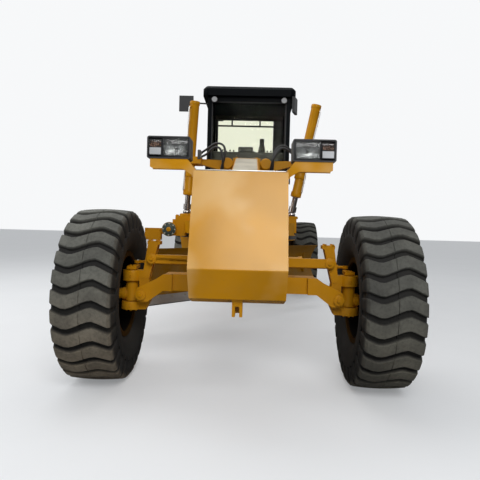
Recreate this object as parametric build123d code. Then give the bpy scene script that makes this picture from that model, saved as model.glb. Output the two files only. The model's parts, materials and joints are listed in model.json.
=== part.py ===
"""A motor grader: front frame with leaning, steered wheels, drawbar, circle and blade, hinged to a rear frame with
the cab, the engine and two tandem axles.

Millimetres, +Z up, +X to the machine's left side, the nose towards -Y. While it is modelled, y is the distance
behind the front axle; on export every piece moves forward so that the origin lies on the floor under the middle
of the machine's box.
"""
from build123d import *
from math import atan2, cos, degrees, pi, radians, sin, sqrt
import os

# ---- running gaps and plate
GAP = 0.3
OPEN_PIVOT = 9.0
OPEN_EYE = 24.0
PAD_GAP = 0.9
PLATE = 20.0

# ---- the whole machine
NOSE_OVERHANG = 950.0
WHEELBASE = 6200.0
TANDEM_PITCH = 1540.0
TAIL_OVERHANG = 1770.0
TRACK = 2150.0

# ---- tyres and rims
TYRE_R = 675.0
TYRE_W = 440.0
TREAD_W = 404.0
LUG_DEPTH = 32.0
LUGS = 29
LUG_SHARE = 0.72  # of the pitch
LUG_SWING = 30.0
LUG_BENDS = ((0.0, 0.25, 11.0), (0.27, -1.0, 0.0), (0.68, 1.0, 0.0), (1.0, -0.7, 11.0))  # share of the width, share of the swing, drop
WALL_DROP = 150.0
BEAD_IN = 10.0
RIM_R = 318.0
RIM_W = 320.0
RIM_FLANGE = 24.0
RIM_WALL = 14.0
HUB_R = 115.0
HUB_L = 150.0
SPINDLE_R = 42.0

# ---- front axle, seen from the front
LEAN_PIN_X = 770.0
LEAN_PIN_Z = 685.0
LEAN_PIN_R = 28.0
LEAN_BAR_X = 700.0
LEAN_BAR_Z = 965.0
LEAN_BAR_H = 70.0
LEAN_BAR_T = 34.0
BRACKET_HALF = 95.0
ARM_HALF = 50.0
FORK_T = 30.0
FORK_TOP = 800.0
BEAM_HALF = 92.0
BEAM_TOP = 850.0
BEAM_BOTTOM = 720.0
AXLE_PIVOT_Z = 770.0
AXLE_PIVOT_R = 52.0

# ---- kingpin and steering
KINGPIN_X = 870.0
KINGPIN_R = 28.0
CAP_R = 76.0
CAP_TOP = 868.0
CAP_BOTTOM = 785.0
FOOT_TOP = 618.0
FOOT_BOTTOM = 556.0
BARREL_R = 50.0
STEER_ARM = 170.0
STEER_ARM_T = 26.0
TIE_ROD_R = 18.0
BALL_R = 18.0

# ---- lean cylinder
LEAN_CYL_BASE_X = 150.0
LEAN_CYL_R = 40.0

# ---- front box and lamps
BOX_W = 620.0
BOX_BACK = -450.0
BOX_TOP_Y = -730.0
BOX_TOP_Z = 1598.0
BOX_CREASE_Z = 970.0
BOX_FOOT_Y = -830.0
BOX_FOOT_Z = 775.0
BOX_KEEL_Y = -640.0
BOX_KEEL_Z = 725.0
SHELF_H = 74.0
SHELF_HALF = 600.0
LAMP_X = 478.0
LAMP_W = 285.0
LAMP_H = 147.0
LAMP_D = 150.0
TOW_PIN_R = 25.0
TOW_Y = -740.0
TOW_Z = 690.0
TOW_LUG = 34.0
TOW_SLOT = 14.0
SHELF_T = 12.0

# ---- front frame
NECK_W = 280.0
NECK_TOP = [(-450, 1590), (300, 1600), (2300, 2100), (3120, 2100)]
NECK_DEPTH = 320.0
HANGER_FRONT = 140.0
HANGER_BACK = 230.0
HANGER_T = 34.0

# ---- drawbar and circle
DRAW_BALL_Y = 390.0
DRAW_BALL_Z = 1080.0
DRAW_BALL_R = 60.0
DRAW_Z = 1150.0
DRAW_H = 140.0
DRAW_SWING = 84.0
CIRCLE_Y = 2500.0
CIRCLE_R = 740.0
CIRCLE_IN_R = 585.0
CIRCLE_T = 70.0
CIRCLE_TURN = 50.0
RAIL_HALF = 640.0

# ---- lift cylinders
SADDLE_Y = 2500.0
TRUNNION_X = 735.0
TRUNNION_Z = 2075.0
YOKE_T = 36.0
DISC_X = 245.0
DISC_Z = 2040.0
DISC_R = 72.0
LIFT_BALL_HALF = 686.0
LIFT_BALL_Z = 1405.0
LIFT_BALL_R = 50.0
LIFT_BARREL_R = 59.0
LIFT_ROD_R = 35.0
LIFT_TOP = 775.0
LIFT_BELOW = 440.0

# ---- blade
BLADE_L = 3660.0
BLADE_TOP = 975.0
BLADE_BOTTOM = 365.0
BLADE_T = 22.0
BLADE_SAG = 130.0
EDGE_LAP = 40.0
EDGE_T = 18.0
EDGE_SEAT = 0.16
TIP_Y = 262.0
TIP_Z = 520.0
TIP_PIN_R = 30.0
RAIL_BACK = 165.0
SHIFT_R = 36.0
SHIFT_ROD_R = 20.0

# ---- articulation
HITCH_Y = 3440.0
HITCH_LOW = 1180.0
HITCH_HIGH = 1620.0
HITCH_LUG = 60.0
HITCH_R = 120.0
HITCH_PIN_R = 45.0

# ---- articulation cylinders, seen from above
ART_Z = 1290.0
ART_FRONT_X = 270.0
ART_FRONT_Y = 3250.0
ART_BACK_X = 520.0
ART_BACK_Y = 4040.0
ART_R = 42.0
ART_ROD_R = 24.0
ART_EYE = 20.0

# ---- rear frame
RAIL_X = 330.0
RAIL_W = 90.0
RAIL_Z = 1130.0
RAIL_H = 230.0
POST_FRONT = 3640.0
POST_BACK = 4090.0
AXLE_TUBE_R = 165.0
CASE_IN_X = 640.0
CASE_OUT_X = 818.0
CASE_H = 250.0
STEP_FRONT = 4620.0

# ---- cab
CAB_FRONT = 3830.0
CAB_BACK = 5180.0
CAB_HALF = 650.0
CAB_FLOOR = 1430.0
CAB_EAVES = 3270.0
POST = 62.0
ROOF_TOP = 3420.0
ROOF_HALF = 725.0
SILL_Z = 2060.0
SEAT_Z = 1900.0
GLASS_T = 8.0
MIRROR = (220.0, 40.0, 240.0)
MIRROR_Y = 3790.0
MIRRORS = ((-985.0, 3140.0, 0.0), (712.0, 3140.0, 74.0))  # x, z, fold in degrees
DOOR_FRONT = 3960.0
DOOR_BACK = 4760.0
DOOR_T = 34.0
HINGE_R = 12.0
HINGE_OUT = HINGE_R + GAP
HINGE_H = 60.0
HINGE_Z = (1600.0, 3000.0)

# ---- engine enclosure
HOOD_FRONT = 5230.0
HOOD_HALF = 480.0
HOOD_TOP = 2330.0
HOOD_WALL = 30.0
HOOD_HINGE_INSET = 240.0
LOUVRES = 6
LOUVRE_L = 420.0
LOUVRE_PITCH = 62.0
LOUVRE_OUT = 18.0
LOUVRE_INSET = 90.0
STACK_Y = HOOD_FRONT + 470
STACK_TOP = 2950.0

TYRE_X = TRACK / 2
REAR_Y = WHEELBASE + TAIL_OVERHANG
CENTRE_Y = (REAR_Y - NOSE_OVERHANG) / 2
HOOD_DOOR = (HOOD_FRONT + 130, REAR_Y - 640)
HOOD_HINGE_Y = (HOOD_DOOR[0] + HOOD_HINGE_INSET, HOOD_DOOR[1] - HOOD_HINGE_INSET - 2 * HINGE_H)
TANDEM_FRONT = WHEELBASE - TANDEM_PITCH / 2
TANDEM_BACK = WHEELBASE + TANDEM_PITCH / 2
DRAW_YAW = degrees(atan2(DRAW_SWING, CIRCLE_Y - DRAW_BALL_Y))


# ---------------------------------------------------------------- shapes
def block(x, y, z):
    """A box between two corners given as (low, high) pairs."""
    return Pos(sum(x) / 2, sum(y) / 2, sum(z) / 2) * Box(x[1] - x[0], y[1] - y[0], z[1] - z[0])


def bar(a, b, r):
    """A round bar of radius r from point a to point b."""
    a, b = Vector(*a), Vector(*b)
    face = Plane(origin=a, z_dir=(b - a).normalized()) * Circle(r)
    return extrude(face, (b - a).length)


def side_plate(points, x):
    """An outline of (y, z) points between two values of x."""
    face = Plane.YZ.offset(x[0]) * make_face(Polyline(*points, close=True))
    return extrude(face, x[1] - x[0])


def front_plate(points, y):
    """An outline of (x, z) points between two values of y."""
    face = Plane.XZ.offset(-y[0]) * make_face(Polyline(*points, close=True))
    return extrude(face, -(y[1] - y[0]))


def floor_plate(points, z):
    """An outline of (x, y) points between two heights."""
    face = Plane.XY.offset(z[0]) * make_face(Polyline(*points, close=True))
    return extrude(face, z[1] - z[0])


def mirror_x(shape):
    return mirror(shape, about=Plane.YZ)


def both(shape):
    """A shape and its mirror image across the machine's middle, as one list of solids."""
    return [*shape.solids(), *mirror_x(shape).solids()]


def node(*shapes):
    """Solids that don't touch, kept as one piece list."""
    solids = []
    for shape in shapes:
        solids.extend(shape if isinstance(shape, list) else shape.solids())
    return Compound(solids)


def side(sign, shape):
    """A shape modelled on the left side, given for the left (+1) or mirrored to the right (-1)."""
    return shape if sign > 0 else mirror_x(shape)


# ---------------------------------------------------------------- wheels
def tyre_rings():
    """The tyre's section from its right bead to its left one, as (x, corners in one pitch as (radius, angle))."""
    pitch = 2 * pi / LUGS
    lug, foot = pitch * LUG_SHARE / 2, TYRE_R - WALL_DROP
    bead = (RIM_R + GAP) / cos(pitch / 2)
    start = LUG_BENDS[1][1] * LUG_SWING / TYRE_R - lug
    tread = []
    for across, share, drop in LUG_BENDS:
        middle, top = share * LUG_SWING / TYRE_R - start, TYRE_R - drop
        corners = [(top, middle - lug), (top, middle + lug), (top - LUG_DEPTH, middle + pitch / 2)]
        tread.append(((across - 0.5) * TREAD_W, corners))
    wall = [(TYRE_W / 2, [(foot, -start)]), (RIM_W / 2 - BEAD_IN, [(bead, -start)])]
    return [(-x, corners) for x, corners in wall[::-1]] + tread + wall


def ring_points(x, corners):
    """A ring's corners, repeated for every lug round the axle."""
    turns = [2 * pi * k / LUGS for k in range(LUGS)]
    return [Vector(x, -r * sin(turn + angle), -r * cos(turn + angle)) for turn in turns for r, angle in corners]


def band(first, second):
    """Flat faces between two rings of corners: flat walls as quads, all else as triangles."""
    count = max(len(first), len(second))
    one = [first[i * len(first) // count] for i in range(count)]
    two = [second[i * len(second) // count] for i in range(count)]
    faces = []
    for i in range(count):
        j = (i + 1) % count
        if count == LUGS:
            faces.append([one[i], one[j], two[j], two[i]])
        else:
            faces += [f for f in ([one[i], one[j], two[j]], [one[i], two[j], two[i]]) if f[0] is not f[1] and f[1] is not f[2]]
    return [Face(Wire.make_polygon(corners, close=True)) for corners in faces]


def tyre(sign, y):
    """One tyre: a closed shell of flat faces, with wavy lugs over the tread that run out on its shoulders."""
    rings = [ring_points(x, corners) for x, corners in tyre_rings()]
    faces = [face for first, second in zip(rings, rings[1:] + rings[:1]) for face in band(first, second)]
    return Pos(sign * TYRE_X, y, TYRE_R) * Solid(Shell(faces))


def rim(sign, y, bore_from):
    """A dished rim and hub; bore_from is how far inboard of the wheel's middle the hub reaches."""
    edge = RIM_W / 2
    lip = edge + 10
    inner = RIM_R - RIM_WALL
    profile = [
        (-lip, inner), (-lip, RIM_R + RIM_FLANGE), (-edge - GAP, RIM_R + RIM_FLANGE), (-edge - GAP, RIM_R),
        (edge + GAP, RIM_R), (edge + GAP, RIM_R + RIM_FLANGE), (lip, RIM_R + RIM_FLANGE), (lip, inner), (88, inner),
        (70, inner - 70), (48, HUB_R + 30), (110, HUB_R - 20), (110, 0), (70, 0), (70, SPINDLE_R + GAP),
        (-bore_from, SPINDLE_R + GAP), (-bore_from, HUB_R - 30), (20, HUB_R), (22, HUB_R + 40), (44, inner - 60),
        (62, inner),
    ]
    face = Plane.XY * make_face(Polyline(*profile, close=True))
    wheel = revolve(face, Axis.X)
    return Pos(sign * TYRE_X, y, TYRE_R) * (wheel if sign > 0 else mirror_x(wheel))


# ---------------------------------------------------------------- front axle
def front_axle():
    """The beam with a fork and a lean pin at each end, its middle pivot and the lug of the lean cylinder."""
    inner, outer = BRACKET_HALF + 5, BRACKET_HALF + 5 + FORK_T
    half = BEAM_HALF
    beam = block((-590, 590), (-half, half), (BEAM_BOTTOM, BEAM_TOP))
    beam -= block((-560, 560), (30 - half, half - 30), (BEAM_BOTTOM - 1, BEAM_BOTTOM + 40))
    beam += block((-590, -530), (-outer, outer), (BEAM_BOTTOM, FORK_TOP))
    beam += block((530, 590), (-outer, outer), (BEAM_BOTTOM, FORK_TOP))
    for top, y in ((BEAM_TOP, (-outer, -inner)), (FORK_TOP, (inner, outer))):
        fork = front_plate([
            (530, top), (600, top), (650, min(top, 815)), (LEAN_PIN_X + 30, 740), (LEAN_PIN_X + 50, LEAN_PIN_Z),
            (LEAN_PIN_X + 30, 636), (LEAN_PIN_X - 50, 630), (600, BEAM_BOTTOM), (530, BEAM_BOTTOM)], y)
        beam += [fork, mirror_x(fork)]
    for sign in (-1, 1):
        pin = bar((sign * LEAN_PIN_X, -outer - 12, LEAN_PIN_Z), (sign * LEAN_PIN_X, outer + 12, LEAN_PIN_Z), LEAN_PIN_R)
        beam += pin
    pivot = bar((0, -HANGER_FRONT + GAP, AXLE_PIVOT_Z), (0, HANGER_BACK - GAP, AXLE_PIVOT_Z), AXLE_PIVOT_R)
    lug = front_plate([
        (LEAN_CYL_BASE_X - 70, BEAM_TOP), (LEAN_CYL_BASE_X + 70, BEAM_TOP), (LEAN_CYL_BASE_X + 30, LEAN_BAR_Z + 20),
        (LEAN_CYL_BASE_X, LEAN_BAR_Z + 36), (LEAN_CYL_BASE_X - 30, LEAN_BAR_Z + 20)], (20, 40))
    lug += mirror(lug, about=Plane.XZ)
    lug += bar((LEAN_CYL_BASE_X, -40, LEAN_BAR_Z), (LEAN_CYL_BASE_X, 40, LEAN_BAR_Z), 18)
    return node(beam + pivot + lug)


def lean_bracket(sign):
    """The bracket that swings on the lean pin and holds the kingpin between its cap and its foot."""
    boss = bar((LEAN_PIN_X, -BRACKET_HALF, LEAN_PIN_Z), (LEAN_PIN_X, BRACKET_HALF, LEAN_PIN_Z), 44)
    spine = front_plate([
        (LEAN_PIN_X - 50, 620), (LEAN_PIN_X - 20, FOOT_BOTTOM), (KINGPIN_X, FOOT_BOTTOM), (KINGPIN_X, FOOT_TOP),
        (KINGPIN_X - 66, FOOT_TOP + 4), (KINGPIN_X - 66, CAP_BOTTOM), (KINGPIN_X, CAP_BOTTOM), (KINGPIN_X, CAP_TOP),
        (KINGPIN_X - 80, CAP_TOP), (LEAN_PIN_X - 34, CAP_TOP), (LEAN_PIN_X - 50, 760)], (-45, 45))
    cap = bar((KINGPIN_X, 0, CAP_BOTTOM), (KINGPIN_X, 0, CAP_TOP), CAP_R)
    foot = bar((KINGPIN_X, 0, FOOT_BOTTOM), (KINGPIN_X, 0, FOOT_TOP), CAP_R + 6)
    arm = front_plate([
        (LEAN_PIN_X - 44, CAP_TOP - 60), (KINGPIN_X - 66, CAP_TOP - 60), (KINGPIN_X - 98, CAP_TOP),
        (LEAN_BAR_X + 38, LEAN_BAR_Z + 128), (LEAN_BAR_X - 44, LEAN_BAR_Z + 128)], (20, ARM_HALF))
    top = block((LEAN_BAR_X - 56, LEAN_BAR_X + 44), (-ARM_HALF, ARM_HALF), (LEAN_BAR_Z + 112, LEAN_BAR_Z + 140))
    shape = boss + spine + cap + foot + arm + mirror(arm, about=Plane.XZ) + top
    shape += bar((LEAN_BAR_X, -ARM_HALF - LEAN_BAR_T - 8, LEAN_BAR_Z), (LEAN_BAR_X, -ARM_HALF + 4, LEAN_BAR_Z), 18)
    shape += bar((LEAN_BAR_X, ARM_HALF - 4, LEAN_BAR_Z), (LEAN_BAR_X, ARM_HALF + 8, LEAN_BAR_Z), 24)
    shape -= bar((LEAN_PIN_X, -200, LEAN_PIN_Z), (LEAN_PIN_X, 200, LEAN_PIN_Z), LEAN_PIN_R + GAP)
    shape -= bar((KINGPIN_X, 0, FOOT_BOTTOM + 15), (KINGPIN_X, 0, CAP_TOP + 5), KINGPIN_R + GAP)
    return node(side(sign, shape))


def lean_bar():
    """The bar that keeps both brackets parallel, in front of their arms."""
    y = (-ARM_HALF - 4 - LEAN_BAR_T, -ARM_HALF - 4)
    half = LEAN_BAR_H / 2
    shape = block((-LEAN_BAR_X, LEAN_BAR_X), y, (LEAN_BAR_Z - half, LEAN_BAR_Z + half))
    for x in (-LEAN_BAR_X, LEAN_BAR_X):
        shape += bar((x, y[0], LEAN_BAR_Z), (x, y[1], LEAN_BAR_Z), half + 8)
    shape -= bar((LEAN_BAR_X, -200, LEAN_BAR_Z), (LEAN_BAR_X, 0, LEAN_BAR_Z), 18 + GAP)
    shape -= bar((-LEAN_BAR_X, -200, LEAN_BAR_Z), (-LEAN_BAR_X, 0, LEAN_BAR_Z), 18 + OPEN_PIVOT)
    return node(shape)


def lean_cylinder():
    """Barrel and rod between the axle's lug and the left bracket, in the plane of the axle."""
    base, eye, mouth = LEAN_CYL_BASE_X, LEAN_BAR_X, LEAN_CYL_BASE_X + 340
    barrel = bar((base + 75, 0, LEAN_BAR_Z), (mouth, 0, LEAN_BAR_Z), LEAN_CYL_R)
    barrel += bar((base, -18, LEAN_BAR_Z), (base, 18, LEAN_BAR_Z), 34)
    barrel += block((base, base + 90), (-17, 17), (LEAN_BAR_Z - 24, LEAN_BAR_Z + 24))
    barrel += bar((mouth - 30, 0, LEAN_BAR_Z), (mouth, 0, LEAN_BAR_Z), LEAN_CYL_R + 6)
    barrel -= bar((base, -60, LEAN_BAR_Z), (base, 60, LEAN_BAR_Z), 18 + GAP)
    barrel -= bar((base + 110, 0, LEAN_BAR_Z), (mouth + 5, 0, LEAN_BAR_Z), 20 + GAP)
    rod = bar((base + 225, 0, LEAN_BAR_Z), (eye - 60, 0, LEAN_BAR_Z), 20)
    rod += bar((eye - 70, 0, LEAN_BAR_Z), (eye, 0, LEAN_BAR_Z), 15)
    rod += bar((eye, -15, LEAN_BAR_Z), (eye, 15, LEAN_BAR_Z), 34)
    return node(barrel), node(rod)


def knuckle(sign):
    """Kingpin barrel with the wheel's spindle and the steering arm on top."""
    barrel = bar((KINGPIN_X, 0, FOOT_TOP + 5), (KINGPIN_X, 0, CAP_BOTTOM - 5), BARREL_R)
    pin = bar((KINGPIN_X, 0, FOOT_BOTTOM + 20), (KINGPIN_X, 0, CAP_TOP + 8), KINGPIN_R)
    spindle = bar((KINGPIN_X, 0, TYRE_R), (TYRE_X + 60, 0, TYRE_R), SPINDLE_R)
    shape = barrel + pin + spindle + bar((KINGPIN_X + 40, 0, TYRE_R), (KINGPIN_X + 72, 0, TYRE_R), 50)
    z = CAP_TOP + 5
    arm = floor_plate([(-38, -36), (38, -36), (38, 20), (20, STEER_ARM), (-20, STEER_ARM), (-38, 20)], (z, z + STEER_ARM_T))
    arm += Pos(0, STEER_ARM, z + STEER_ARM_T / 2) * Cylinder(22, STEER_ARM_T)
    shape += Pos(KINGPIN_X, 0, 0) * arm
    if sign > 0:
        shape += ball_stud(0, BALL_R - OPEN_PIVOT)
    return node(side(sign, shape))


def tie_rod_z():
    return CAP_TOP + 5 + STEER_ARM_T + 4 + BALL_R


def ball_stud(lift, r):
    """A ball of radius r on a short neck, standing on the left steering arm or lift above it."""
    foot = CAP_TOP + 5 + STEER_ARM_T + lift
    neck = bar((KINGPIN_X, STEER_ARM, foot), (KINGPIN_X, STEER_ARM, tie_rod_z()), 5)
    return neck + Pos(KINGPIN_X, STEER_ARM, tie_rod_z()) * Sphere(r)


def tie_rod_joint():
    """The ball stud on the right steering arm, which turns in the arm."""
    return node(mirror_x(ball_stud(GAP, BALL_R)))


def tie_rod():
    """The rod from one steering arm to the other, with an eye at each end."""
    z = tie_rod_z()
    shape = bar((-KINGPIN_X + 60, STEER_ARM, z), (KINGPIN_X - 60, STEER_ARM, z), TIE_ROD_R)
    shape += bar((-KINGPIN_X + 20, STEER_ARM, z), (KINGPIN_X - 20, STEER_ARM, z), 11)
    for x, eye in ((-KINGPIN_X, 27), (KINGPIN_X, OPEN_EYE)):
        shape += bar((x, STEER_ARM, z - 12), (x, STEER_ARM, z + 12), eye)
    shape -= Pos(-KINGPIN_X, STEER_ARM, z) * Sphere(BALL_R + GAP)
    shape -= bar((KINGPIN_X, STEER_ARM, z - 20), (KINGPIN_X, STEER_ARM, z + 20), OPEN_EYE - 6)
    return node(shape)


# ---------------------------------------------------------------- nose
def front_box():
    """The push block on the nose, creased across its front, with a tow pin under it."""
    half = BOX_W / 2
    outline = [
        (-NOSE_OVERHANG, BOX_CREASE_Z), (BOX_TOP_Y, BOX_TOP_Z), (BOX_BACK, BOX_TOP_Z), (BOX_BACK, BOX_FOOT_Z - 20),
        (BOX_KEEL_Y, BOX_KEEL_Z), (BOX_FOOT_Y, BOX_FOOT_Z)]
    shape = side_plate(outline, (-half, half))
    shape = fillet(shape.edges().filter_by(Axis.X).sort_by(Axis.Y)[0], 12)
    lug = side_plate([(TOW_Y - 50, TOW_Z + 90), (TOW_Y + 140, TOW_Z + 50), (TOW_Y + 50, TOW_Z - 38),
                      (TOW_Y - 38, TOW_Z - 38)], (-TOW_LUG, TOW_LUG))
    lug -= block((-TOW_SLOT, TOW_SLOT), (TOW_Y - 100, TOW_Y + 60), (TOW_Z - 100, TOW_Z + 32))
    lug -= bar((-100, TOW_Y, TOW_Z), (100, TOW_Y, TOW_Z), TOW_PIN_R)
    return node(shape + lug + lamp_shelf())


def lamp_shelf():
    """A bracket on each upper corner of the push block that carries a lamp housing."""
    low, high = BOX_TOP_Z, BOX_TOP_Z + SHELF_H
    front = BOX_TOP_Y + 20
    back = front + 110
    inner = BOX_W / 2
    face = front_plate([
        (inner + 42, high), (SHELF_HALF, high), (SHELF_HALF, low + 20), (SHELF_HALF - 22, low + 8), (inner + 70, low + 8),
        (inner - 6, low - 40), (inner - 6, low + 12)], (front, front + SHELF_T))
    face += block((inner + 42, SHELF_HALF), (front, back), (high - SHELF_T, high))
    face += block((inner + 42, SHELF_HALF), (back - SHELF_T, back), (low + 14, high))
    face += side_plate([(front, low - 40), (back, low - 6), (back, low + 20), (front, low + 20)], (inner - 6, inner + SHELF_T))
    return face + mirror_x(face)


def lamp_housings():
    """Two square housings, open at the front."""
    z = BOX_TOP_Z + SHELF_H
    front = BOX_TOP_Y + 15
    shell = block((LAMP_X - LAMP_W / 2, LAMP_X + LAMP_W / 2), (front, front + LAMP_D), (z, z + LAMP_H))
    shell = fillet(shell.edges().filter_by(Axis.Y), 14)
    inner = LAMP_W / 2 - 10
    shell -= block((LAMP_X - inner, LAMP_X + inner), (front - 1, front + 40), (z + 10, z + LAMP_H - 10))
    return node(both(shell))


def lamp_lenses():
    """A large and a small lens in each housing."""
    z = BOX_TOP_Z + SHELF_H + LAMP_H / 2
    front = BOX_TOP_Y + 22
    high = LAMP_H / 2 - 14
    large = block((LAMP_X - LAMP_W / 2 + 14, LAMP_X + 40), (front, front + 33), (z - high, z + high))
    small = block((LAMP_X + 48, LAMP_X + LAMP_W / 2 - 14), (front, front + 33), (z - high + 8, z + high - 8))
    return node(both(large), both(small))


# ---------------------------------------------------------------- front frame
def neck_bottom(y, z):
    return (y, z - NECK_DEPTH)


def front_frame():
    """The gooseneck, its axle hangers, the drawbar's socket and the lugs of the hitch."""
    half = NECK_W / 2
    a, b, c, d = NECK_TOP
    under = [neck_bottom(*d), neck_bottom(*c), (b[0] + 60, b[1] - NECK_DEPTH - 40), (a[0], a[1] - NECK_DEPTH - 190)]
    neck = side_plate([a, b, c, d, *under], (-half, half))
    for y in ((-HANGER_FRONT - HANGER_T, -HANGER_FRONT), (HANGER_BACK, HANGER_BACK + HANGER_T)):
        neck += front_plate([(-150, 1230), (-150, 800), (-80, 690), (80, 690), (150, 800), (150, 1230)], y)
    ball = (0, DRAW_BALL_Y, DRAW_BALL_Z)
    socket = bar((0, HANGER_BACK, DRAW_BALL_Z), (0, DRAW_BALL_Y + 15, DRAW_BALL_Z), DRAW_BALL_R + 38)
    neck += socket
    neck -= Pos(*ball) * Sphere(DRAW_BALL_R + GAP)
    front = HITCH_Y - 290
    post = side_plate([(front - 260, 2100), (front - 260, 1750), (front, 1340), (front + 20, HITCH_LOW),
                       (HITCH_Y - 170, HITCH_LOW), (HITCH_Y - 170, HITCH_HIGH + HITCH_LUG), (HITCH_Y - 240, 2100)],
                      (-half - 30, half + 30))
    for z in (HITCH_LOW, HITCH_HIGH):
        lug = floor_plate([(-half - 30, HITCH_Y - 175), (half + 30, HITCH_Y - 175), (HITCH_R, HITCH_Y), (-HITCH_R, HITCH_Y)],
                          (z, z + HITCH_LUG))
        post += lug + Pos(0, HITCH_Y, z + HITCH_LUG / 2) * Cylinder(HITCH_R, HITCH_LUG)
    neck += post
    for sign in (-1, 1):
        for z in (ART_Z - ART_EYE - 24, ART_Z + ART_EYE + 4):
            lug = floor_plate([(half + 20, ART_FRONT_Y - 60), (ART_FRONT_X, ART_FRONT_Y - 42),
                               (ART_FRONT_X + 42, ART_FRONT_Y), (ART_FRONT_X, ART_FRONT_Y + 42),
                               (half + 20, ART_FRONT_Y + 15)], (z, z + 20))
            boss = bar((ART_FRONT_X, ART_FRONT_Y, z - 6), (ART_FRONT_X, ART_FRONT_Y, z + 10), 26)
            if z > ART_Z:
                boss = Pos(0, 0, 16) * boss
            neck += side(sign, lug + boss)
    neck -= bar((0, HITCH_Y, HITCH_LOW - 100), (0, HITCH_Y, HITCH_HIGH + 200), HITCH_PIN_R + GAP)
    return node(neck + saddle())


def art_point(distance):
    """A point on the left cylinder's line, measured back from its front pin."""
    run = (ART_BACK_X - ART_FRONT_X, ART_BACK_Y - ART_FRONT_Y)
    length = sqrt(run[0] ** 2 + run[1] ** 2)
    return (ART_FRONT_X + run[0] * distance / length, ART_FRONT_Y + run[1] * distance / length, ART_Z)


def articulation_cylinder(sign):
    """Barrel pinned to the rear frame and rod towards the front frame."""
    full = sqrt((ART_BACK_X - ART_FRONT_X) ** 2 + (ART_BACK_Y - ART_FRONT_Y) ** 2)
    mouth, head = full - 560, full - 66
    back = (ART_BACK_X, ART_BACK_Y)
    barrel = bar(art_point(mouth), art_point(head), ART_R) + bar(art_point(head - 10), art_point(full), ART_EYE - 1)
    barrel += bar(art_point(mouth), art_point(mouth + 34), ART_R + 7)
    barrel += bar((*back, ART_Z - ART_EYE), (*back, ART_Z + ART_EYE), 44)
    barrel -= bar((*back, ART_Z - 60), (*back, ART_Z + 60), 20 + GAP)
    barrel -= bar(art_point(mouth - 5), art_point(head - 30), ART_ROD_R + GAP)
    rod = bar(art_point(66), art_point(full - 330), ART_ROD_R) + bar(art_point(0), art_point(70), ART_EYE - 1)
    rod += bar((ART_FRONT_X, ART_FRONT_Y, ART_Z - ART_EYE), (ART_FRONT_X, ART_FRONT_Y, ART_Z + ART_EYE), 42)
    return node(side(sign, barrel)), node(side(sign, rod))


# ---------------------------------------------------------------- saddle and lift cylinders
def saddle():
    """The yoke over the neck that carries a trunnion on each side."""
    half = NECK_W / 2
    y = (SADDLE_Y - 130, SADDLE_Y + 130)
    top = NECK_TOP[2][1]
    yoke = block((-half - YOKE_T, half + YOKE_T), y, (top - 250, top + GAP + 14))
    yoke -= block((-half - GAP, half + GAP), (y[0] - 1, y[1] + 1), (top - 251, top + GAP))
    wing = front_plate([
        (half + 20, TRUNNION_Z - 160), (TRUNNION_X - 150, TRUNNION_Z - 45), (TRUNNION_X - 120, TRUNNION_Z - 45),
        (TRUNNION_X - 120, TRUNNION_Z + 25), (half + 20, TRUNNION_Z + 10)], (SADDLE_Y - 60, SADDLE_Y + 60))
    wing += mirror_x(wing)
    for sign in (-1, 1):
        disc = bar((sign * DISC_X, y[0] - 40, DISC_Z), (sign * DISC_X, y[1], DISC_Z), DISC_R)
        disc = chamfer(disc.edges().filter_by(GeomType.CIRCLE).sort_by(Axis.Y)[0], 10)
        wing += disc
        z = (TRUNNION_Z - 45, TRUNNION_Z + 45)
        fork = block((TRUNNION_X - 150, TRUNNION_X + 30), (SADDLE_Y - 144, SADDLE_Y + 144), z)
        fork -= block((TRUNNION_X - 120, TRUNNION_X + 31), (SADDLE_Y - 112, SADDLE_Y + 112), (z[0] - 1, z[1] + 1))
        fork += bar((TRUNNION_X, SADDLE_Y + 90, TRUNNION_Z), (TRUNNION_X, SADDLE_Y + 130, TRUNNION_Z), 24)
        fork += bar((TRUNNION_X, SADDLE_Y - 130, TRUNNION_Z), (TRUNNION_X, SADDLE_Y - 90, TRUNNION_Z), 24)
        wing += side(sign, fork)
    return yoke + wing


def lift_line(sign):
    """Trunnion and lower ball of one lift cylinder, with the unit vector from ball to trunnion."""
    top = Vector(sign * TRUNNION_X, SADDLE_Y, TRUNNION_Z)
    angle = radians(DRAW_YAW)
    arm = Vector(sign * LIFT_BALL_HALF, CIRCLE_Y - DRAW_BALL_Y, 0)
    x = arm.X * cos(angle) - arm.Y * sin(angle)
    ball = Vector(x, SADDLE_Y, LIFT_BALL_Z)
    return top, ball, (top - ball).normalized()


def lift_yoke(sign):
    """The ring that swings sideways in the saddle and holds the barrel's side pins."""
    z = (TRUNNION_Z - 38, TRUNNION_Z + 38)
    ring = block((TRUNNION_X - 112, TRUNNION_X + 112), (SADDLE_Y - 106, SADDLE_Y + 106), z)
    ring -= block((TRUNNION_X - 90, TRUNNION_X + 90), (SADDLE_Y - 78, SADDLE_Y + 78), (z[0] - 1, z[1] + 1))
    ring -= bar((TRUNNION_X, SADDLE_Y - 110, TRUNNION_Z), (TRUNNION_X, SADDLE_Y + 110, TRUNNION_Z), 24 + GAP)
    ring -= bar((TRUNNION_X - 120, SADDLE_Y, TRUNNION_Z), (TRUNNION_X + 120, SADDLE_Y, TRUNNION_Z), 18 + GAP)
    return node(side(sign, ring))


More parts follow.
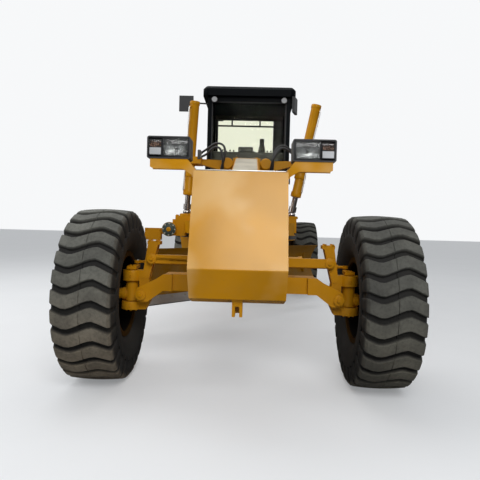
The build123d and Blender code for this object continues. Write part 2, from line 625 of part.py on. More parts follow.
def lift_cylinder(sign):
    """Barrel held at its trunnion and rod with a ball foot."""
    top, ball, up = lift_line(sign)
    mouth, head = top - up * LIFT_BELOW, top + up * LIFT_TOP
    barrel = bar(tuple(mouth), tuple(head), LIFT_BARREL_R)
    barrel += bar(tuple(mouth), tuple(mouth + up * 60), LIFT_BARREL_R + 9)
    barrel += bar(tuple(head - up * 40), tuple(head), LIFT_BARREL_R + 6)
    barrel += bar((top.X - 106, top.Y, top.Z), (top.X + 106, top.Y, top.Z), 18)
    barrel -= bar(tuple(mouth - up * 5), tuple(head - up * 60), LIFT_ROD_R + GAP)
    rod = bar(tuple(ball), tuple(ball + up * 1250), LIFT_ROD_R)
    rod += Pos(*tuple(ball)) * Sphere(LIFT_BALL_R)
    rod += bar(tuple(ball + up * 40), tuple(ball + up * 110), LIFT_ROD_R + 14)
    return node(barrel), node(rod)


# ---------------------------------------------------------------- drawbar
def swing(shape):
    """Turns what is modelled straight behind the drawbar's ball to where the drawbar stands."""
    centre = Axis((0, DRAW_BALL_Y, 0), (0, 0, 1))
    return shape.rotate(centre, DRAW_YAW)


def drawbar():
    """The A-shaped drawbar: ball, two legs, a frame over the circle and the pads of the lift cylinders."""
    z = (DRAW_Z, DRAW_Z + DRAW_H)
    ball = Pos(0, DRAW_BALL_Y, DRAW_BALL_Z) * Sphere(DRAW_BALL_R)
    neck = bar((0, DRAW_BALL_Y + 30, DRAW_BALL_Z), (0, 740, DRAW_Z + 40), 34)
    front, back, wide = 700, 3120, RAIL_HALF
    legs = floor_plate([(-95, front), (95, front), (wide, 1800), (wide, back), (-wide, back), (-wide, 1800)], z)
    legs -= floor_plate([(-40, 880), (40, 880), (wide - 190, 1690), (-wide + 190, 1690)], (z[0] - 1, z[1] + 1))
    legs -= floor_plate([(-wide + 120, 1830), (wide - 120, 1830), (wide - 120, back - 130), (-wide + 120, back - 130)],
                        (z[0] - 1, z[1] + 1))
    shape = ball + neck + legs
    seat = LIFT_BALL_Z - LIFT_BALL_R - PAD_GAP
    for sign in (-1, 1):
        pad = block((LIFT_BALL_HALF - 70, LIFT_BALL_HALF + 60), (CIRCLE_Y - 90, CIRCLE_Y + 90), (z[0] + 20, seat))
        shape += side(sign, pad)
    for angle in (45, 135, 225, 315):
        x, y = CIRCLE_IN_R * cos(radians(angle)), CIRCLE_Y + CIRCLE_IN_R * sin(radians(angle))
        x, y = 0.94 * x, CIRCLE_Y + 0.94 * (y - CIRCLE_Y)
        shoe = bar((x, y, DRAW_Z - 52), (x, y, DRAW_Z + 60), 30)
        rail = (wide - 60) * (1 if x > 0 else -1)
        arm = block((min(x, rail), max(x, rail)), (y - 40, y + 40), (DRAW_Z + 10, DRAW_Z + 60))
        shape += shoe + arm
    return node(swing(shape + circle_drive()))


def circle_drive():
    """Gearbox and motor that turn the circle, on the outside of the drawbar's right leg."""
    outer, z = -RAIL_HALF, DRAW_Z + 35
    box = block((outer - 150, outer + 5), (1860, 2080), (z - 75, z + 120))
    lid = block((outer - 120, outer + 200), (1880, 2060), (DRAW_Z + DRAW_H - 5, DRAW_Z + DRAW_H + 60))
    motor = bar((outer - 178, 1770, z), (outer - 178, 1870, z), 84)
    mount = bar((outer - 170, 1850, z), (outer - 170, 1960, z), 60)
    valve = block((outer - 480, outer - 290), (1900, 2010), (z - 130, z + 10))
    valve += block((outer - 300, outer - 140), (1920, 1990), (z - 60, z))
    return box + lid + motor + mount + valve


# ---------------------------------------------------------------- circle and blade
def turn(shape):
    """Places what is modelled about the circle's centre, the blade along X, at its stored angle."""
    turned = shape.rotate(Axis.Z, CIRCLE_TURN - DRAW_YAW)
    return swing(Pos(0, CIRCLE_Y, 0) * turned)


def circle():
    """The ring, with two arms down to the blade's tip pins."""
    z = (circle_low(), circle_low() + CIRCLE_T)
    face = Plane.XY.offset(z[0]) * (Circle(CIRCLE_R) - Circle(CIRCLE_IN_R))
    ring = extrude(face, CIRCLE_T)
    for sign in (-1, 1):
        arm = side_plate([
            (-60, z[0] + 30), (430, z[0] + 30), (400, z[0] - 60), (TIP_Y + 55, TIP_Z + 40), (TIP_Y + 40, TIP_Z - 50),
            (TIP_Y - 40, TIP_Z - 50), (TIP_Y - 42, TIP_Z + 40), (250, 860), (60, z[0] - 60)], (590, 640))
        pin = bar((550, TIP_Y, TIP_Z), (650, TIP_Y, TIP_Z), TIP_PIN_R)
        ring += side(sign, arm + pin)
    y, high = tip_ends()[0]
    for x in ((-62, -40), (40, 62)):
        ring += side_plate([(y - 30, high), (y - 12, high - 32), (y + 12, high - 32), (y + 75, z[0] - 10),
                            (y + 75, z[0] + 10), (y + 40, z[0] + 10), (y - 10, high + 34)], x)
    ring += block((-62, 62), (y + 55, 620), (z[0] - 12, z[0] + 10))
    ring += bar((-62, y, high), (62, y, high), 18)
    return node(turn(ring))


def blade_arc(offset):
    """Three points of the blade's curve, moved back by offset."""
    foot = BLADE_BOTTOM + EDGE_LAP
    return (offset - 70, foot), (offset - 70 + BLADE_SAG, (BLADE_TOP + foot) / 2), (offset - 70, BLADE_TOP)


def moldboard():
    """The curved blade with two slide rails on its back."""
    front, back = blade_arc(0), blade_arc(BLADE_T)
    outline = [ThreePointArc(*front), Line(front[2], back[2]), ThreePointArc(*reversed(back)), Line(back[0], front[0])]
    face = Plane.YZ.offset(-BLADE_L / 2) * make_face(outline)
    sheet = extrude(face, BLADE_L)
    middle = (BLADE_TOP + BLADE_BOTTOM) / 2
    for z in (middle + 150, middle - 130):
        sheet += block((-BLADE_L / 2 + 250, BLADE_L / 2 - 250), (60, RAIL_BACK), (z - 22, z + 22))
    rib = side_plate([(10, 560), (RAIL_BACK, 600), (RAIL_BACK, 780), (10, 860)], (-BLADE_L / 2 + 250, -BLADE_L / 2 + 272))
    sheet += rib + mirror_x(rib)
    return node(turn(sheet))


def cutting_edge():
    """The flat edge bolted along the foot of the blade."""
    foot = BLADE_BOTTOM + EDGE_LAP
    half = (BLADE_TOP - foot) / 2
    radius = (half ** 2 + BLADE_SAG ** 2) / (2 * BLADE_SAG)
    centre = (BLADE_SAG - 70 - radius, BLADE_TOP - half)
    angle = atan2(half, radius - BLADE_SAG)

    def on_face(turned, r, drop=0.0):
        y, z = centre[0] + r * cos(turned), centre[1] - r * sin(turned)
        return (y - drop * sin(turned), z - drop * cos(turned))

    seat, front, drop = radius - GAP, radius - GAP - EDGE_T, EDGE_LAP / cos(angle)
    outline = [on_face(angle - EDGE_SEAT, seat), on_face(angle, seat), on_face(angle, seat, drop),
               on_face(angle, front, drop), on_face(angle, front), on_face(angle - EDGE_SEAT, front)]
    return node(turn(side_plate(outline, (-BLADE_L / 2, BLADE_L / 2))))


def blade_carrier():
    """Two clamp brackets on the tip pins, joined by a beam, in which the blade's rails slide."""
    middle = (BLADE_TOP + BLADE_BOTTOM) / 2
    back = RAIL_BACK
    plate = side_plate([
        (back + 5, middle + 185), (back + 50, middle + 185), (TIP_Y + 50, TIP_Z + 60), (TIP_Y + 48, TIP_Z - 40),
        (TIP_Y - 30, TIP_Z - 55), (back + 5, middle - 165)], (530, 584))
    for z in (middle + 150, middle - 130):
        plate += block((500, 584), (back - 50, back + 30), (z + 26, z + 44)) + block((500, 584), (back - 50, back + 30), (z - 44, z - 26))
        plate += block((500, 584), (back + 5, back + 30), (z - 44, z + 44))
    plate -= bar((500, TIP_Y, TIP_Z), (700, TIP_Y, TIP_Z), TIP_PIN_R + GAP)
    y, z = side_shift_line()
    plate -= bar((490, y, z), (700, y, z), SHIFT_ROD_R + 8)
    beam = block((-540, 540), (back + 10, back + 60), (middle - 60, middle + 20))
    shape = plate + mirror_x(plate) + beam
    y, z = tip_ends()[1]
    for x in ((-62, -40), (40, 62)):
        shape += side_plate([(back + 57, middle - 60), (y + 24, middle - 60), (y + 24, z), (y, z + 28), (y - 20, z)], x)
        boss = bar((-8, y, z), (8, y, z), 22)
        shape += Pos(-66 if x[0] < 0 else 66, 0, 0) * boss
    return node(turn(shape))


def circle_low():
    return DRAW_Z - GAP - CIRCLE_T


def tip_ends():
    """Upper and lower pin of the tip cylinder, as (y, z)."""
    return (520, circle_low() - 50), (RAIL_BACK + 80, 828)


def tip_cylinder():
    """A short cylinder that tips the blade, from the circle to the carrier."""
    (y1, z1), (y2, z2) = tip_ends()
    length = sqrt((y2 - y1) ** 2 + (z2 - z1) ** 2)
    unit = ((y2 - y1) / length, (z2 - z1) / length)

    def at(distance):
        return (0, y1 + unit[0] * distance, z1 + unit[1] * distance)

    barrel = bar((-36, y1, z1), (36, y1, z1), 34) + bar(at(10), at(length * 0.6), 35)
    barrel -= bar((-60, y1, z1), (60, y1, z1), 18 + GAP)
    barrel -= bar(at(52), at(length), 18 + GAP)
    rod = bar(at(length * 0.48), at(length - 12), 18) + bar((-36, y2, z2), (36, y2, z2), 30)
    return node(turn(barrel)), node(turn(rod))


def side_shift_cylinder():
    """A long cylinder along the back of the blade: barrel on the carrier, rod pinned to the blade."""
    y, z = side_shift_line()
    barrel = bar((-470, y, z), (490, y, z), SHIFT_R)
    barrel -= bar((-420, y, z), (505, y, z), SHIFT_ROD_R + GAP)
    for x in (-440, 440):
        foot = block((x - 20, x + 20), (y, y + 50), (z - 50, z - 26))
        barrel += foot - bar((-480, y, z), (510, y, z), SHIFT_R - 2)
    rod = bar((40, y, z), (1180, y, z), SHIFT_ROD_R)
    back = blade_arc(BLADE_T)[1]
    rod += block((1160, 1200), (back[0] + GAP, y + 26), (back[1], z + 26))
    return node(turn(barrel)), node(turn(rod))


def side_shift_line():
    """The side-shift cylinder's axis, as (y, z)."""
    return RAIL_BACK + 10, (BLADE_TOP + BLADE_BOTTOM) / 2 + 70


# ---------------------------------------------------------------- rear frame
def rear_frame():
    """Two rails joined by cross members, with the hitch's outer lugs, and the tail block and steps bolted to them."""
    z = (RAIL_Z, RAIL_Z + RAIL_H)
    outer = RAIL_X + RAIL_W
    rail = block((RAIL_X, outer), (POST_BACK, REAR_Y - 230 - GAP), z)
    shape = rail + mirror_x(rail)
    for y in (4330, 5280, 5860, 6500, 7300):
        shape += block((-RAIL_X - 10, RAIL_X + 10), (y, y + 120), (z[0] + 20, z[1] - 20))
    shape += block((-300, 300), (POST_FRONT, POST_FRONT + 150), (z[0], HITCH_HIGH + HITCH_LUG + 60))
    shape += block((-300, 300), (POST_FRONT, POST_BACK + 10), z)
    shape += block((-outer, outer), (POST_BACK, POST_BACK + 90), z)
    lug_t = HITCH_LUG - 10
    for low in (HITCH_LOW - 5 - lug_t, HITCH_HIGH + HITCH_LUG + 5):
        lug = floor_plate([(-290, POST_FRONT + 20), (290, POST_FRONT + 20), (HITCH_R, HITCH_Y), (-HITCH_R, HITCH_Y)],
                          (low, low + lug_t))
        lug += block((-290, 290), (POST_FRONT, POST_FRONT + 90), (low, low + lug_t + 20))
        shape += lug + Pos(0, HITCH_Y, low + lug_t / 2) * Cylinder(HITCH_R, lug_t)
    shape += bar((0, HITCH_Y, HITCH_LOW - 50), (0, HITCH_Y, HITCH_LOW + HITCH_LUG + 20), HITCH_PIN_R)
    shape += bar((0, HITCH_Y, HITCH_HIGH - 20), (0, HITCH_Y, HITCH_HIGH + HITCH_LUG + 60), HITCH_PIN_R)
    for sign in (-1, 1):
        back = (ART_BACK_X, ART_BACK_Y)
        for low in (ART_Z - ART_EYE - 26, ART_Z + ART_EYE + 4):
            lug = floor_plate([(RAIL_X, POST_BACK + 80), (back[0] + 44, POST_BACK + 80), (back[0] + 44, back[1]),
                               (back[0], back[1] - 44), (back[0] - 44, back[1]), (RAIL_X, POST_BACK + 10)], (low, low + 22))
            shape += side(sign, lug)
        shape += side(sign, bar((*back, ART_Z - 48), (*back, ART_Z + 48), 20))
    return node(shape, tail_block(), *steps())


def tail_block():
    """The block across the rails' ends, with the two lugs of the towing pin."""
    outer = RAIL_X + RAIL_W
    tail = block((-outer, outer), (REAR_Y - 230, REAR_Y - 90), (RAIL_Z - 160, RAIL_Z + RAIL_H + 60))
    for low in (RAIL_Z - 100, RAIL_Z + 20):
        tail += block((-90, 90), (REAR_Y - 100, REAR_Y), (low, low + 40))
    return tail - bar((0, REAR_Y - 50, RAIL_Z - 200), (0, REAR_Y - 50, RAIL_Z + 300), TOW_PIN_R)


def tandem():
    """The rear axle's tube, bolted under the frame, with a chain case and four spindles."""
    tube = bar((-CASE_IN_X - 20, WHEELBASE, TYRE_R + 60), (CASE_IN_X + 20, WHEELBASE, TYRE_R + 60), AXLE_TUBE_R)
    tube += block((-RAIL_X - RAIL_W, RAIL_X + RAIL_W), (WHEELBASE - 190, WHEELBASE + 190), (TYRE_R + 150, RAIL_Z))
    half = CASE_H / 2
    for sign in (-1, 1):
        case = block((CASE_IN_X, CASE_OUT_X), (TANDEM_FRONT, TANDEM_BACK), (TYRE_R - half, TYRE_R + half + 60))
        for y in (TANDEM_FRONT, TANDEM_BACK):
            case += bar((CASE_IN_X, y, TYRE_R), (CASE_OUT_X, y, TYRE_R), half + 20)
            case += bar((CASE_OUT_X - 10, y, TYRE_R), (TYRE_X + 60, y, TYRE_R), SPINDLE_R)
        tube += side(sign, case)
    return node(tube)


# ---------------------------------------------------------------- cab
def cab_shell():
    """Floor, posts, sills and quarter panels, open for the glass and the doors."""
    y, z = (CAB_FRONT, CAB_BACK), (CAB_FLOOR, CAB_EAVES)
    shell = block((-CAB_HALF, CAB_HALF), y, z)
    shell -= block((-CAB_HALF + POST, CAB_HALF - POST), (y[0] + POST, y[1] - POST), (z[0] + 50, z[1] - 70))
    wide = CAB_HALF - POST
    for low, high in ((SILL_Z - 300, CAB_EAVES - 70),):
        shell -= block((-wide, wide), (y[0] - 1, y[0] + POST + 1), (low, high))
        shell -= block((-wide, wide), (y[1] - POST - 1, y[1] + 1), (SILL_Z + 250, high))
    shell -= block((-CAB_HALF - 1, CAB_HALF + 1), (DOOR_FRONT, DOOR_BACK), (z[0] + 50, z[1] - 70))
    shell -= block((-CAB_HALF - 1, CAB_HALF + 1), (DOOR_BACK + POST, y[1] - POST), (SILL_Z, z[1] - 70))
    mounts = [block((x - 50, x + 50), (yy - 50, yy + 50), (RAIL_Z + RAIL_H, CAB_FLOOR))
              for x in (-RAIL_X - 45, RAIL_X + 45) for yy in (4150, 5060)]
    shell += mounts
    for z0 in HINGE_Z:
        hinge = door_hinge(z0 + HINGE_H + GAP, z0 + 2 * HINGE_H) + block(
            (CAB_HALF - 4, CAB_HALF + HINGE_OUT), (DOOR_BACK + 4, DOOR_BACK + 40), (z0 + HINGE_H + GAP, z0 + 2 * HINGE_H))
        shell += [hinge, mirror_x(hinge)]
    return node(shell)


def door_hinge(low, high):
    """One barrel of a left door hinge."""
    return bar((CAB_HALF + HINGE_OUT, DOOR_BACK, low), (CAB_HALF + HINGE_OUT, DOOR_BACK, high), HINGE_R)


def cab_roof():
    """The roof slab with rounded corners and a visor round its edge."""
    slab = block((-ROOF_HALF, ROOF_HALF), (CAB_FRONT - 90, CAB_BACK + 110), (CAB_EAVES, ROOF_TOP))
    slab = fillet(slab.edges().filter_by(Axis.Z), 90)
    slab = chamfer(slab.faces().sort_by(Axis.Z)[-1].edges(), 45)
    return node(slab)


def cab_glass():
    """Fixed panes: windscreen, rear window and both quarter windows."""
    wide, top = CAB_HALF - POST - GAP, CAB_EAVES - 70 - GAP
    front = block((-wide, wide), (CAB_FRONT + 20, CAB_FRONT + 20 + GLASS_T), (SILL_Z - 300 + GAP, top))
    rear = block((-wide, wide), (CAB_BACK - 30, CAB_BACK - 30 + GLASS_T), (SILL_Z + 250 + GAP, top))
    quarter = block((CAB_HALF - 30, CAB_HALF - 30 + GLASS_T), (DOOR_BACK + POST + GAP, CAB_BACK - POST - GAP), (SILL_Z + GAP, top))
    return node(front, rear, both(quarter))


def cab_door(sign):
    """A door frame with a low panel; its pane is a node of its own."""
    x = (CAB_HALF - DOOR_T, CAB_HALF)
    z = (CAB_FLOOR + 55, CAB_EAVES - 75)
    y = (DOOR_FRONT + 5, DOOR_BACK - 5)
    door = block(x, y, z)
    door -= block((x[0] - 1, x[1] + 1), (y[0] + 55, y[1] - 55), (z[0] + 420, z[1] - 60))
    door += bar((x[1] + 26, y[0] + 28, z[0] + 450), (x[1] + 26, y[0] + 28, z[0] + 720), 11)
    for zz in (z[0] + 460, z[0] + 700):
        door += block((x[1] - 5, x[1] + 30), (y[0] + 20, y[0] + 36), (zz, zz + 14))
    for z0 in HINGE_Z:
        door += door_hinge(z0, z0 + HINGE_H)
        door += block((x[1] - 4, x[1] + HINGE_OUT), (y[1] - 40, y[1] - 2), (z0, z0 + HINGE_H))
    pane = block((x[0] + 12, x[0] + 12 + GLASS_T), (y[0] + 55, y[1] - 55), (z[0] + 420, z[1] - 60))
    return node(side(sign, door), side(sign, pane))


def seat():
    """Cushion, back and headrest."""
    cushion = fillet(block((-250, 250), (4450, 4900), (SEAT_Z - 120, SEAT_Z)).edges().filter_by(Axis.Z), 60)
    hinge = block((-240, 240), (4840, 4960), (SEAT_Z - 100, SEAT_Z + 30))
    back = block((-240, 240), (4850, 4960), (SEAT_Z + 10, SEAT_Z + 530))
    rest = block((-120, 120), (4860, 4940), (SEAT_Z + 560, SEAT_Z + 690)) + block((-60, 60), (4880, 4920), (SEAT_Z + 500, SEAT_Z + 600))
    return node(cushion + hinge + back + rest)


def cab_controls():
    """The seat's plinth and the steering column with its wheel."""
    plinth = block((-170, 170), (4500, 4850), (CAB_FLOOR + 50, SEAT_Z - 120))
    column = side_plate([(4060, CAB_FLOOR + 50), (4200, CAB_FLOOR + 50), (4330, 2150), (4240, 2190)], (-70, 70))
    centre = Pos(0, 4300, 2240) * Rot(35, 0, 0)
    wheel = centre * (Cylinder(190, 26) - Cylinder(164, 40))
    spoke = centre * Box(340, 40, 14)
    hub = centre * Pos(0, 0, -50) * Cylinder(40, 110)
    return node(plinth, column + wheel + spoke + hub)


def mirrors():
    """A mirror on an arm from each front post; the left one is folded back along its arm."""
    heads = []
    for x, z, fold in MIRRORS:
        foot = CAB_HALF if x > 0 else -CAB_HALF
        place = Pos(x, MIRROR_Y, z) * Rot(0, 0, fold)
        arm = bar((foot, CAB_FRONT + 20, z + 20), (x, MIRROR_Y + 12, z + 20), 12)
        arm -= block((-CAB_HALF - GAP, CAB_HALF + GAP), (CAB_FRONT, CAB_FRONT + 200), (z - 30, z + 60))
        heads.extend((arm + place * Box(*MIRROR)).solids())
    return node(heads)


# ---------------------------------------------------------------- engine enclosure
def hood():
    """The enclosure's frame: top, bulkheads and posts, open at both sides for the doors."""
    y, z = (HOOD_FRONT, REAR_Y - 240), (RAIL_Z + RAIL_H + GAP, HOOD_TOP)
    shell = side_plate([(y[0], z[0]), (y[1], z[0]), (y[1], z[1] - 150), (y[1] - 180, z[1]), (y[0], z[1])],
                       (-HOOD_HALF, HOOD_HALF))
    shell = fillet(shell.edges().filter_by(Axis.Y).sort_by(Axis.Z)[-2:], 60)
    shell -= block((-HOOD_HALF + HOOD_WALL, HOOD_HALF - HOOD_WALL), (y[0] + HOOD_WALL, y[1] - HOOD_WALL), (z[0] + 40, z[1] - 155))
    shell -= block((-HOOD_HALF - 1, HOOD_HALF + 1), (HOOD_DOOR[0], HOOD_DOOR[1]), (z[0] + 80, z[1] - 160))
    shell -= block((-340, 340), (y[1] - 60, y[1] + 1), (z[0] + 120, z[1] - 220))
    for y0 in HOOD_HINGE_Y:
        hinge = hood_hinge(y0 + HINGE_H + GAP, y0 + 2 * HINGE_H) + block(
            (HOOD_HALF - 4, HOOD_HALF + HINGE_OUT), (y0 + HINGE_H + GAP, y0 + 2 * HINGE_H), (z_hinge() + 4, z_hinge() + 40))
        shell += [hinge, mirror_x(hinge)]
    return node(shell + grille())


def z_hinge():
    """Height of the side doors' hinge line."""
    return HOOD_TOP - 162


def hood_hinge(low, high):
    """One barrel of the hinge along the top of the left side door."""
    return bar((HOOD_HALF + HINGE_OUT, low, z_hinge()), (HOOD_HALF + HINGE_OUT, high, z_hinge()), HINGE_R)


def hood_door(sign):
    """A side door with two banks of pressed louvres."""
    z = (RAIL_Z + RAIL_H + GAP + 85, HOOD_TOP - 165)
    y = (HOOD_DOOR[0] + 5, HOOD_DOOR[1] - 5)
    door = block((HOOD_HALF - 26, HOOD_HALF), y, z)
    for start in (y[0] + LOUVRE_INSET, y[1] - LOUVRE_INSET - LOUVRE_L):
        for i in range(LOUVRES):
            low = z[0] + LOUVRE_INSET + i * LOUVRE_PITCH
            fin = front_plate([(HOOD_HALF - 2, low), (HOOD_HALF + LOUVRE_OUT, low), (HOOD_HALF + LOUVRE_OUT - 4, low + 8),
                               (HOOD_HALF - 2, low + LOUVRE_PITCH - 12)], (start, start + LOUVRE_L))
            door += fin
    for y0 in HOOD_HINGE_Y:
        door += hood_hinge(y0, y0 + HINGE_H)
        door += block((HOOD_HALF - 4, HOOD_HALF + HINGE_OUT), (y0, y0 + HINGE_H), (z[1] - 40, z[1] - 2))
    return node(side(sign, door))


def engine():
    """The engine and its radiator as one plain mass."""
    z = RAIL_Z + RAIL_H + 40 + 2 * GAP
    return node(block((-300, 300), (HOOD_FRONT + 260, REAR_Y - 900), (z, z + 620)))


def grille():
    """The radiator grille in the enclosure's tail."""
    z = (RAIL_Z + RAIL_H + GAP + 120 + GAP, HOOD_TOP - 220 - GAP)
    y = (REAR_Y - 285, REAR_Y - 245)
    frame = block((-340 + GAP, 340 - GAP), y, z)
    frame -= block((-310, 310), (y[0] + 20, y[1] + 1), (z[0] + 30, z[1] - 30))
    count = 9
    pitch = (z[1] - z[0] - 60) / count
    for i in range(1, count):
        frame += block((-312, 312), (y[0] + 18, y[1] - 6), (z[0] + 30 + i * pitch - 9, z[0] + 30 + i * pitch + 9))
    return frame


def exhaust():
    """The stack on the enclosure."""
    pipe = bar((250, STACK_Y, HOOD_TOP), (250, STACK_Y, STACK_TOP - 150), 62)
    pipe += bar((250, STACK_Y, STACK_TOP - 200), (250, STACK_Y, STACK_TOP), 45)
    pipe -= bar((250, STACK_Y, STACK_TOP - 100), (250, STACK_Y, STACK_TOP + 50), 38)
    return node(pipe)


def steps():
    """Steps and side boxes under the cab doors, bolted to the rails' outer faces."""
    inner, outer = RAIL_X + RAIL_W + GAP, 760
    body = block((inner, outer), (4230, 4330), (RAIL_Z + 20, CAB_FLOOR - 20))
    body += block((inner, outer), (4760, 5000), (RAIL_Z + 20, CAB_FLOOR - 20))
    body += block((inner, outer), (4300, 4800), (CAB_FLOOR - 60, CAB_FLOOR - 20))
    for y in (STEP_FRONT, STEP_FRONT + 300):
        body += block((700, 730), (y, y + 20), (480, CAB_FLOOR - 40))
    for z in (480, 780, 1080):
        body += block((640, 790), (STEP_FRONT, STEP_FRONT + 320), (z, z + 25))
    return body, mirror_x(body)


# ---------------------------------------------------------------- export
def export(name, shape):
    export_step(Pos(0, -CENTRE_Y, 0) * shape, f"parts/{name}.step")


def main():
    os.makedirs("parts", exist_ok=True)
    names = {-1: "right", 1: "left"}
    for sign, word in names.items():
        export(f"tyre_front_{word}", node(tyre(sign, 0)))
        export(f"rim_front_{word}", node(rim(sign, 0, 100)))
        for place, y in (("middle", TANDEM_FRONT), ("rear", TANDEM_BACK)):
            export(f"tyre_{place}_{word}", node(tyre(sign, y)))
            export(f"rim_{place}_{word}", node(rim(sign, y, 150)))
        export(f"lean_bracket_{word}", lean_bracket(sign))
        export(f"knuckle_{word}", knuckle(sign))
        for kind, piece in zip(("barrel", "rod"), articulation_cylinder(sign)):
            export(f"articulation_{kind}_{word}", piece)
        export(f"lift_yoke_{word}", lift_yoke(sign))
        for kind, piece in zip(("barrel", "rod"), lift_cylinder(sign)):
            export(f"lift_{kind}_{word}", piece)
        export(f"cab_door_{word}", cab_door(sign))
        export(f"hood_door_{word}", hood_door(sign))
    for kind, piece in zip(("barrel", "rod"), lean_cylinder()):
        export(f"lean_{kind}", piece)
    for kind, piece in zip(("barrel", "rod"), tip_cylinder()):
        export(f"tip_{kind}", piece)
    for kind, piece in zip(("barrel", "rod"), side_shift_cylinder()):
        export(f"side_shift_{kind}", piece)
    singles = (
        front_axle, lean_bar, tie_rod_joint, tie_rod, front_box, lamp_housings, lamp_lenses, front_frame, drawbar,
        circle, moldboard, cutting_edge, blade_carrier, rear_frame, tandem, cab_shell, cab_roof, cab_glass, seat,
        cab_controls, mirrors, hood, engine, exhaust,
    )
    for make in singles:
        export(make.__name__, make())


if __name__ == "__main__":
    main()
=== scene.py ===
"""Dresses a motor grader: finishes steel, rubber and glass, and adds tread, lamps, hoses, bolts and trim."""
import json
from functools import partialmethod
from math import atan2, cos, pi, radians, sin

import bmesh
import bpy
from bpy.types import Operator, Panel, PropertyGroup, Scene
from mathutils import Matrix, Vector


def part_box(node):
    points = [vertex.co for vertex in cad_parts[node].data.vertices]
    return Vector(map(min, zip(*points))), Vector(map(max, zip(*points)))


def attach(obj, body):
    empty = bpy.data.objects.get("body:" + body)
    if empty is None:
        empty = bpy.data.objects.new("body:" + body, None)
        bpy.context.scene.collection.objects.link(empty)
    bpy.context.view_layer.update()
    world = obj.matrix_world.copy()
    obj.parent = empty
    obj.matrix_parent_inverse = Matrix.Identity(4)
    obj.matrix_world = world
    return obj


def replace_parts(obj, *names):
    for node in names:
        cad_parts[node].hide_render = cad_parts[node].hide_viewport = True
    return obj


bl_info = {
    "name": "Motor Grader Dressing",
    "version": (1, 0, 0),
    "blender": (4, 5, 0),
    "location": "3D View > Sidebar > Grader",
    "description": "Finishes a motor grader and adds its tread, lamps, hoses, bolts and trim",
    "category": "Object",
}

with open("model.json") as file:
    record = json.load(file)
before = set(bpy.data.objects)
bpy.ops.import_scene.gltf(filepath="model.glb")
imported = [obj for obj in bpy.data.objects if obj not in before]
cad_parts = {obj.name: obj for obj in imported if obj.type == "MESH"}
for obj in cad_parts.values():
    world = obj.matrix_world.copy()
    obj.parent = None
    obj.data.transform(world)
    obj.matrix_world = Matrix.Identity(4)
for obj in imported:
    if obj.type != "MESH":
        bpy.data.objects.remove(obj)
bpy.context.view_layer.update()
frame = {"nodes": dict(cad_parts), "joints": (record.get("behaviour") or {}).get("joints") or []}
SIDES = {"left": 1, "right": -1}  # each side's sign along X
WHEELS = ("front", "middle", "rear")
UP, DOWN, AHEAD, BACK = (0, 0, 1), (0, 0, -1), (0, -1, 0), (0, 1, 0)


def middle(node):
    """The middle of a node's box."""
    low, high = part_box(node)
    return (low + high) / 2


FRONT_Y = middle("tyre_front_left").y
JOINTS = {joint["name"]: joint for joint in frame["joints"]}


def at(x, y, z):
    """A place given across the machine, behind its front axle and above the floor."""
    return Vector((x, FRONT_Y + y, z))


def anchor(joint):
    return Vector(JOINTS[joint]["pos_m"])


TYRE_LOW, TYRE_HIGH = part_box("tyre_front_left")
TYRE_R = (TYRE_HIGH.z - TYRE_LOW.z) / 2
TYRE_W = TYRE_HIGH.x - TYRE_LOW.x
TRACK_HALF = middle("tyre_front_left").x


# ---- what a user would change
def colour_setting(name, description, default):
    return bpy.props.FloatVectorProperty(
        name=name, description=description, subtype="COLOR", default=default, min=0, max=1)


def length_setting(name, description, default):
    return bpy.props.FloatProperty(name=name, description=description, default=default, min=0, unit="LENGTH")


def count_setting(name, description, default, low, high):
    return bpy.props.IntProperty(name=name, description=description, default=default, min=low, max=high)


class GraderColours(PropertyGroup):
    """Colours of the finishes."""
    paint: colour_setting("Paint", "Body paint", (0.56, 0.246, 0.003))
    dark: colour_setting("Dark paint", "Roof, posts and small frames", (0.0042, 0.0052, 0.0064))
    rubber: colour_setting("Rubber", "Clean tyre rubber", (0.020, 0.019, 0.018))
    dust: colour_setting("Dust", "Dry dust on tread and ledges", (0.185, 0.172, 0.132))
    floor: colour_setting("Floor", "Studio floor", (0.60, 0.61, 0.62))
    ground: colour_setting("Ground", "What the paint mirrors below the horizon", (0.035, 0.030, 0.024))
    sky: colour_setting("Sky", "What the paint mirrors above the horizon", (0.95, 0.98, 1.0))


class GraderSizes(PropertyGroup):
    """Sizes of what is added."""
    lug_count: count_setting("Lugs", "Lugs round one tyre", 29, 12, 60)
    lug_wave: length_setting("Lug wave", "Rise of a lug across the tread", 0.034)
    lug_depth: length_setting("Lug depth", "Depth of the grooves", 0.032)
    wheel_nuts: count_setting("Wheel nuts", "Nuts on one rim", 12, 5, 24)
    hose_radius: length_setting("Hose radius", "Radius of a hydraulic hose", 0.014)
    edge: length_setting("Edge", "Rounding of the plates' edges", 0.003)
    fill: bpy.props.FloatProperty(
        name="Fill", description="Strength of the even light from all round", default=0.36, min=0)
    lens: bpy.props.FloatProperty(
        name="Lens", description="Focal length of the camera", default=36.75, min=1, unit="CAMERA")


def colour(name):
    return tuple(getattr(bpy.context.scene.grader_colours, name))


def sizes():
    return bpy.context.scene.grader_sizes


def dim(tone, share):
    """A colour with each part taken down, or up, to a share of itself."""
    return tuple(share * part for part in tone)


